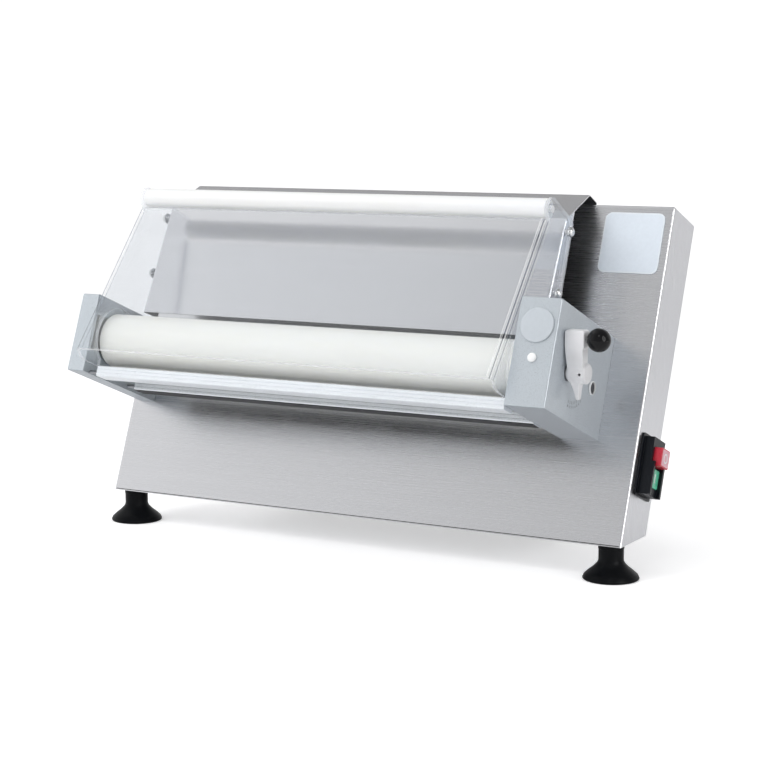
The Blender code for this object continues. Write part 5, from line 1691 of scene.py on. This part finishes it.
@dataclass
class GapLever:
    """The hand lever, ball knob, pull pin, dial marks and the ring at the rear shaft."""

    hub_radius: float = 0.0112
    hub_length: float = 0.0242
    voxel: float = 0.00055
    smoothing: int = 14
    body_left: Sequence[Pair] = (
        (0.0014, 0.0355),
        (0.0014, 0.0255),
        (0.0036, 0.0),
        (0.0068, -0.0100),
        (0.0098, -0.0190),
        (0.0116, -0.0272),
        (0.0124, -0.0282),
    )
    body_right: Sequence[Pair] = (
        (0.0146, -0.0282),
        (0.0154, -0.0272),
        (0.0158, -0.0190),
        (0.0164, -0.0125),
        (0.0200, -0.0070),
        (0.0212, 0.0),
        (0.0219, 0.0255),
        (0.0212, 0.0355),
    )
    body_depth: Pair = (-0.0092, 0.0046)
    head_low: Pair = (0.0010, 0.0262)
    head_high: Pair = (0.0233, 0.0468)
    head_corner: float = 0.0030
    head_depth: Pair = (-0.0122, 0.0028)
    dish_share: float = 1.045
    pin_hole: float = 0.0034
    axle_hole: float = 0.0063
    axle_depth: float = 0.0170
    set_screw: float = 0.0013
    set_screw_hole: float = 0.0017
    set_screw_at: Triple = (0.0178, 0.0, -0.0001)
    dial_back: float = 0.017
    dial_gap: float = 0.00012
    dial_radius: float = 0.0345
    number_radius: float = 0.0395
    dial_start: float = -115.0
    dial_sweep: float = 50.0
    marks: int = 8
    number_height: float = 0.0042
    ring_share: float = 0.9
    ring_wall: float = 0.0009

    def origin(self) -> Vector:
        """The lever's axis at the box's outer side.

        Returns:
            The point.
        """
        middle = middle_of("lever_bush")
        return Vector((box_of("right_box_cover")[1].x, middle.y, middle.z))

    def lever(self) -> Any:
        """The moulded lever: hub, waisted body, square head with a round hollow for the knob, and pointer.

        Returns:
            The piece.
        """
        place = Matrix.Translation(self.origin())
        radius, length = self.hub_radius, self.hub_length
        hub = [(0.0006, 0.0), (0.0006, 0.0080), (0.0030, 0.0085), (0.0040, 0.0112), (0.0120, radius)]
        hub += [(length - 0.0014, radius), (length, radius - 0.0016), (length, 0.0)]
        shape = lathe(hub, 64, Along.X, Vector())
        known = set(shape.verts)
        extrude((*self.body_left, *self.body_right), *self.body_depth, Plane.UPRIGHT_Y, shape)
        for vert in set(shape.verts) - known:
            upper = min(1.0, max(0.0, vert.co.z / self.head_low[1]))
            lower = min(1.0, max(0.0, (-0.0070 - vert.co.z) / 0.0200))
            near = vert.co.y < 0
            vert.co.y += (0.0036 * lower - 0.0030 * upper) if near else (-0.0040 * lower - 0.0018 * upper)
        head = rounded_box(self.head_low, self.head_high, self.head_corner, 6)
        extrude(head, *self.head_depth, Plane.UPRIGHT_Y, shape)
        lever = new_object("lever_moulded", shape, LEVER_GREY, place)
        fuse = lever.modifiers.new("fuse", "REMESH")
        fuse.mode = "VOXEL"
        fuse.voxel_size = self.voxel
        soft = lever.modifiers.new("soft", "SMOOTH")
        soft.factor = 0.5
        soft.iterations = self.smoothing
        settle(lever)
        carve(lever, self.hollows(), flat=False)
        shade_smooth(lever.data, 38.0)
        return lever

    def hollows(self) -> list[Any]:
        """Cutters for the lever's dish, pin hole, axle hole and set screw.

        Returns:
            The cutters.
        """
        low, high = box_of("ball_knob")
        knob, reach = (low + high) / 2, (high.z - low.z) / 2 * self.dish_share
        turns = (math.pi * k / 24 for k in range(25))
        dish = [(reach * math.cos(t), max(0.0, reach * math.sin(t))) for t in turns]
        screw_at = self.origin() + Vector(self.set_screw_at)
        shapes = (
            ("dish_cutter", lathe(dish, 64, Along.X, knob)),
            ("pin_cutter", plug(-0.06, 0.02, self.pin_hole, 32, knob)),
            ("axle_cutter", plug(-0.005, self.axle_depth, self.axle_hole, 48, self.origin())),
            ("screw_cutter", plug(0.0065, 0.03, self.set_screw_hole, 24, screw_at, Along.OUT)),
        )
        return [new_object(name, shape, LEVER_GREY) for name, shape in shapes]

    def knob(self) -> Any:
        """The ball knob with a flat where its pin enters.

        Returns:
            The piece.
        """
        low, high = box_of("ball_knob")
        radius, flat, steps = (high.z - low.z) / 2, 0.93, 32
        centre = Vector((high.x - radius, (low.y + high.y) / 2, (low.z + high.z) / 2))
        profile = [(-flat * radius, 0.0), (-flat * radius, 0.36 * radius)]
        start = math.acos(flat)
        for k in range(1, steps):
            turn = start + (math.pi - start) * k / steps
            profile.append((-radius * math.cos(turn), radius * math.sin(turn)))
        profile.append((radius, 0.0))
        return new_object("knob_ball", lathe(profile, 96, Along.X, centre), KNOB_BLACK, sharp=50.0)

    def dial(self) -> None:
        """Scale marks and numbers on the box's side, round the lever's axis."""
        axis, reach = self.origin(), self.number_radius
        place = Vector((axis.x + self.dial_gap, axis.y + self.dial_back, axis.z))
        face = Matrix.Translation(place) @ SIDEWAYS
        turns = {"Start": math.radians(self.dial_start), "Sweep": math.radians(self.dial_sweep)}
        sizes = {"Radius": self.dial_radius, "Length": 0.0036, "Width": 0.00055, "Rise": 0.00016}
        marks = tick_tree().grow("dial_marks", INK_FAINT, face, Count=self.marks, **sizes, **turns)
        fit(marks, "base", slot="black_plastic")
        for number in range(self.marks):
            turn = math.radians(self.dial_start + self.dial_sweep * number / (self.marks - 1))
            at = face @ Matrix.Translation((reach * math.cos(turn), reach * math.sin(turn), 0.0))
            piece = lettering(f"dial_number_{number}", str(number), self.number_height, INK_FAINT, at)
            fit(piece, "base", slot="black_plastic")

    def build(self) -> None:
        """Make and hang every piece of the gap setting."""
        fit(self.lever(), "lever", "thickness_lever")
        fit(self.knob(), "plunger", "ball_knob")
        dress("plunger_pin", PLAIN_STEEL)
        dress("gap_axle", PLAIN_STEEL)
        for node in ("left_eccentric", "right_eccentric"):
            dress(node, BRONZE)
        dress("lever_bush", PIN_STEEL)
        screw_at = self.origin() + Vector(self.set_screw_at)
        screw = plug(0.0062, 0.0072, self.set_screw, 6, screw_at, Along.OUT)
        fit(new_object("lever_set_screw", screw, HOLE_BLACK), "lever", slot="black_plastic")
        self.dial()
        self.ring()

    def ring(self) -> None:
        """The pale ring at the rear shaft's end, with a dark disc inside it as painted shade of its hollow."""
        low, high = box_of("shaft_cap")
        centre, half = (low + high) / 2, (high.x - low.x) / 2
        outer = self.ring_share * (high.z - low.z) / 2
        inner = outer - self.ring_wall
        profile = [(-half, inner), (-half, outer), (half - 0.0005, outer), (half - 0.0001, outer - 0.0003)]
        profile += [(half, outer - 0.0006), (half - 0.0002, inner)]
        fit(new_object("shaft_ring", lathe(profile, 64, Along.X, centre), CAP_PALE), "base", "shaft_cap")
        # Painted shade: a near-black disc at the bottom of the ring stands for the shade in its hollow.
        hollow = plug(-half, -half + 0.0004, inner, 64, centre)
        fit(new_object("shaft_hollow_painted_shade", hollow, HOLLOW_PAINTED_SHADE), "base", slot="black_plastic")


def lettering(name: str, text: str, size: float, finish: Finish, matrix: Matrix) -> Any:
    """Flat raised characters, as a mesh.

    Args:
        name: The piece's name.
        text: The characters.
        size: Their height.
        finish: Their finish.
        matrix: Their place, facing its local Z.

    Returns:
        The piece.
    """
    curve = bpy.data.curves.new(name, "FONT")
    curve.body = text
    curve.size = size
    curve.align_x = curve.align_y = "CENTER"
    curve.extrude = 0.00008
    curve.resolution_u = 4
    item = in_scene(name, curve)
    graph = bpy.context.evaluated_depsgraph_get()
    mesh = bpy.data.meshes.new_from_object(item.evaluated_get(graph))
    bpy.data.objects.remove(item, do_unlink=True)
    mesh.transform(matrix)
    mesh.materials.clear()
    mesh.materials.append(finish.material())
    return in_scene(name, mesh)


@dataclass
class Switch:
    """The no-volt switch with its stop and start buttons and their signs."""

    sign_rise: float = 0.0003
    cap: float = 0.004
    face_half: Pair = (0.0102, 0.0090)
    face_corner: float = 0.0015
    ring: Pair = (0.0040, 0.0056)
    ring_rise: float = 0.00016
    bar: Triple = (0.0018, 0.0100, 0.0004)

    def build(self) -> None:
        """Make and hang the housing, the buttons and the signs."""
        fit(node_copy("switch_housing", SWITCH_BLACK, 0.0007), "base", "switch_housing")
        stop = node_copy("stop_button", STOP_RED, 0.0009, 4)
        reach = box_of("stop_button")[1].x
        for vert in stop.data.vertices:
            vert.co.x -= self.sign_rise if vert.co.x > reach - self.cap else 0.0
        fit(stop, "stop_button", "stop_button")
        fit(node_copy("start_button", START_GREEN, 0.0009, 4), "start_button", "start_button")
        self.signs()

    def face(self, node: str) -> Matrix:
        """The middle of a button's outer face, with local Z outwards and Y up the leaning side.

        Args:
            node: The button.

        Returns:
            The place.
        """
        middle = middle_of(node)
        sunk = self.sign_rise if node == "stop_button" else 0.0
        place = Matrix.Translation((box_of(node)[1].x - sunk, middle.y, middle.z))
        return place @ Matrix.Rotation(-LEAN, 4, "X") @ SIDEWAYS

    def signs(self) -> None:
        """A paler face with a ring for stop, and a bar for start, raised a little on the buttons."""
        stop, start = self.face("stop_button"), self.face("start_button")
        across, up = self.face_half
        outline = rounded_box((-across, -up), (across, up), self.face_corner, 4)
        plate = extrude(outline, -0.0003, 0.00006, Plane.UPRIGHT_Y)
        flat = Matrix.Rotation(-math.pi / 2, 4, "X") @ Matrix.Rotation(math.pi, 4, "Z")
        panel = new_object("stop_face", plate, FACE_PINK, stop @ flat)
        fit(panel, "stop_button", slot="stop_plastic")
        (inner, outer), rise = self.ring, self.ring_rise
        section = [(-0.0002, inner), (-0.0002, outer), (rise, outer), (rise, inner)]
        ring = lathe(section, 64, Along.Z, Vector())
        fit(new_object("stop_sign", ring, INK_WHITE, stop), "stop_button", slot="stop_plastic")
        bar = bmesh.new()
        bmesh.ops.create_cube(bar, size=1.0, matrix=Matrix.Diagonal((*self.bar, 1.0)))
        fit(new_object("start_sign", bar, INK_WHITE, start), "start_button", slot="start_plastic")


@dataclass
class Trim:
    """The bare label plate, the cover's disc and cap, and the inner drive's finishes."""

    lean: Leaning
    label_up: float = 0.344
    label_half: float = 0.0355
    label_corner: float = 0.008
    label_rim: float = 0.0016
    rim_rise: Pair = (0.0003, 0.0010)
    face_rise: Pair = (0.0004, 0.00108)

    def plate(self) -> None:
        """The label: a bare pale face inside a lighter rim."""
        left, right = self.lean.ends("label_plate")
        low, high = self.label_up - self.label_half, self.label_up + self.label_half
        edge, corner = self.label_rim, self.label_corner
        outline = rounded_box((left, low), (right, high), corner)
        rim = extrude(outline, *self.rim_rise, Plane.OUTWARD)
        rim = new_object("label_rim", rim, LABEL_RIM, self.lean.matrix)
        fit(soften(rim, 0.0003, 2), "base", "label_plate")
        outline = rounded_box((left + edge, low + edge), (right - edge, high - edge), corner - edge)
        bare = extrude(outline, *self.face_rise, Plane.OUTWARD)
        fit(new_object("label_face", bare, LABEL_PALE, self.lean.matrix), "base", slot="label_pale")

    def discs(self) -> None:
        """The round disc and the small domed cap on the right box's front."""
        for node, finish, rise in (("cover_disc", DISC_PALE, 0.0004), ("cover_cap", CAP_PALE, 0.0012)):
            local = [self.lean.matrix.inverted() @ vert.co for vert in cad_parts[node].data.vertices]
            low, high = (Vector([pick(co[k] for co in local) for k in range(3)]) for pick in (min, max))
            radius, tall = (high.x - low.x) / 2, high.y - low.y
            centre = Vector(((low.x + high.x) / 2, high.y, (low.z + high.z) / 2))
            profile = [(0.0, 0.0), (0.0, radius), (tall - rise, radius)]
            for turn in (0.3, 0.7, 1.1, 1.4):
                share = math.cos(turn * 0.98) if node == "cover_cap" else 1.0 - 0.10 * (1 - math.cos(turn))
                profile.append((tall - rise + rise * math.sin(turn), radius * share))
            profile += [(tall, 0.0)]
            shape = lathe(profile, 96, Along.OUT, centre)
            fit(new_object(f"{node}_round", shape, finish, self.lean.matrix, sharp=50.0), "base", node)

    def drive(self) -> None:
        """Finishes of the hidden drive."""
        gears = ("gear_bracket", "idler_pin", "idler_gear", "drive_shaft", "drive_pinion")
        for node in (*gears, "rear_base_plate", "motor_cradle"):
            dress(node, PLAIN_STEEL)
        for node in ("gearbox", "drive_motor"):
            dress(node, MOTOR_GREY)

    def build(self) -> None:
        """Make and hang the trim."""
        self.plate()
        self.discs()
        self.drive()


# ---------------------------------------------------------------------------------------------------------
# Studio


class Lamp(Enum):
    """What a lamp is for."""

    FILL = "lights, without showing in gloss"
    GLEAM = "shows in gloss only"
    BOTH = "lights and shows in gloss"


@dataclass
class Studio:
    """Floor, soft lamps, world and camera."""

    camera_at: Triple = (1.1327, -1.9970, 0.5102)
    azimuth: float = 29.44
    down: float = 7.98
    lens: float = 92.13
    aim: Triple = (0.0, 0.0, 0.2)
    floor_ends: Pair = (-3.0, 3.2)
    floor_half: float = 6.0
    floor_bend: float = 0.8
    backdrop: float = 3.0
    paper: float = 0.0002

    def camera(self) -> None:
        """The camera at the front right, a little above the rollers."""
        data = bpy.data.cameras.new("view")
        data.lens = self.lens
        data.sensor_width = 36.0
        item = in_scene("view", data)
        item.location = self.camera_at
        item.rotation_euler = (math.radians(90.0 - self.down), 0.0, math.radians(self.azimuth))
        bpy.context.scene.camera = item

    def floor(self) -> None:
        """A pale floor that keeps the shadow and runs up far behind into the backdrop."""
        (front, back), under = self.floor_ends, -self.paper
        outline = rounded([(front, under), (back, under), (back, self.backdrop)], [self.floor_bend], 24)
        shape = extrude(strip_outline(outline, self.paper), -self.floor_half, self.floor_half, Plane.UPRIGHT_X)
        floor = new_object("floor", shape, PAPER, Matrix.Translation((0.0, 0.0, -0.0001)))

    def lamp(self, name: str, place: Triple, size: Pair, power: float, kind: Lamp) -> None:
        """A soft area lamp aimed at the object.

        Args:
            name: The lamp's name.
            place: Where it hangs.
            size: Its width and height.
            power: Its power in watts.
            kind: Whether it lights the object, shows in gloss, or both.
        """
        data = bpy.data.lights.new(name, "AREA")
        data.shape = "ELLIPSE"
        data.size, data.size_y = size
        data.energy = power
        item = in_scene(name, data)
        item.location = place
        item.rotation_euler = (Vector(self.aim) - Vector(place)).to_track_quat("-Z", "Y").to_euler()
        item.visible_glossy = kind is not Lamp.FILL
        item.visible_diffuse = kind is not Lamp.GLEAM

    def world(self) -> None:
        """A soft room, lightest at the left front and dim behind; its backdrop is white."""
        world = bpy.data.worlds.new("room")
        world.use_nodes = True
        tree = ShaderTree(world.node_tree)
        way = tree.add("ShaderNodeTexCoord", output="Generated")
        x, y, z = (tree.add("ShaderNodeSeparateXYZ", {}, (way,), axis) for axis in "XYZ")
        turn = (0.0 - x).maths("ARCTAN2", 0.0 - y)
        front = turn.between(0.35, 0.80, 0.50, 0.95)
        behind = abs(turn).between(1.6, 2.4)
        level = front * (1.0 - behind) + behind * 0.42
        level = level * z.between(0.43, 0.58, 1.08, 0.95) * z.between(0.5, 0.75, 1.0, 0.90)
        seen, through = tree.rays("Is Camera Ray", "Is Transmission Ray")
        white = seen + through
        strength = white + level * (1.0 - white)
        back = tree.add("ShaderNodeBackground", {}, {"Color": (1.0, 1.0, 1.0), "Strength": strength})
        tree.add("ShaderNodeOutputWorld", {}, {"Surface": back})
        bpy.context.scene.world = world

    def build(self) -> None:
        """Set the studio up."""
        self.floor()
        self.world()
        self.lamp("key_left", (-1.5, -1.8, 2.0), (1.6, 1.6), 28.0, Lamp.FILL)
        self.lamp("top", (0.2, -0.2, 2.2), (1.4, 1.0), 9.0, Lamp.FILL)
        self.lamp("low_front", (-0.3, -2.5, 0.4), (1.2, 0.5), 6.0, Lamp.FILL)
        self.lamp("right_side", (2.2, -0.7, 0.9), (0.35, 1.2), 5.0, Lamp.FILL)
        self.lamp("high_front", (0.9, -1.6, 2.1), (0.4, 0.4), 3.0, Lamp.BOTH)
        self.lamp("right_gleam", (2.2, -0.7, 0.9), (1.1, 1.8), 24.0, Lamp.GLEAM)
        self.lamp("high_gleam", (-1.2, 0.2, 2.1), (1.2, 0.6), 1.5, Lamp.GLEAM)
        self.camera()
        bpy.context.scene.view_settings.view_transform = "Standard"


def main() -> None:
    """Build every sub-assembly in order."""
    logging.basicConfig(level=logging.INFO, format="%(message)s")
    lean = Leaning.of_cabinet()
    Cabinet(lean).build()
    Hood(lean).build()
    Guard(lean).build()
    for side, top in (("left", 0.210), ("right", 0.2344)):
        EndBox(lean, side, *lean.ends(f"{side}_box_cover"), top).build()
    Rollers().build()
    Feet().build()
    Scrapers(lean).build()
    GapLever().build()
    Switch().build()
    Trim(lean).build()
    Studio().build()


if __name__ == "__main__":
    main()
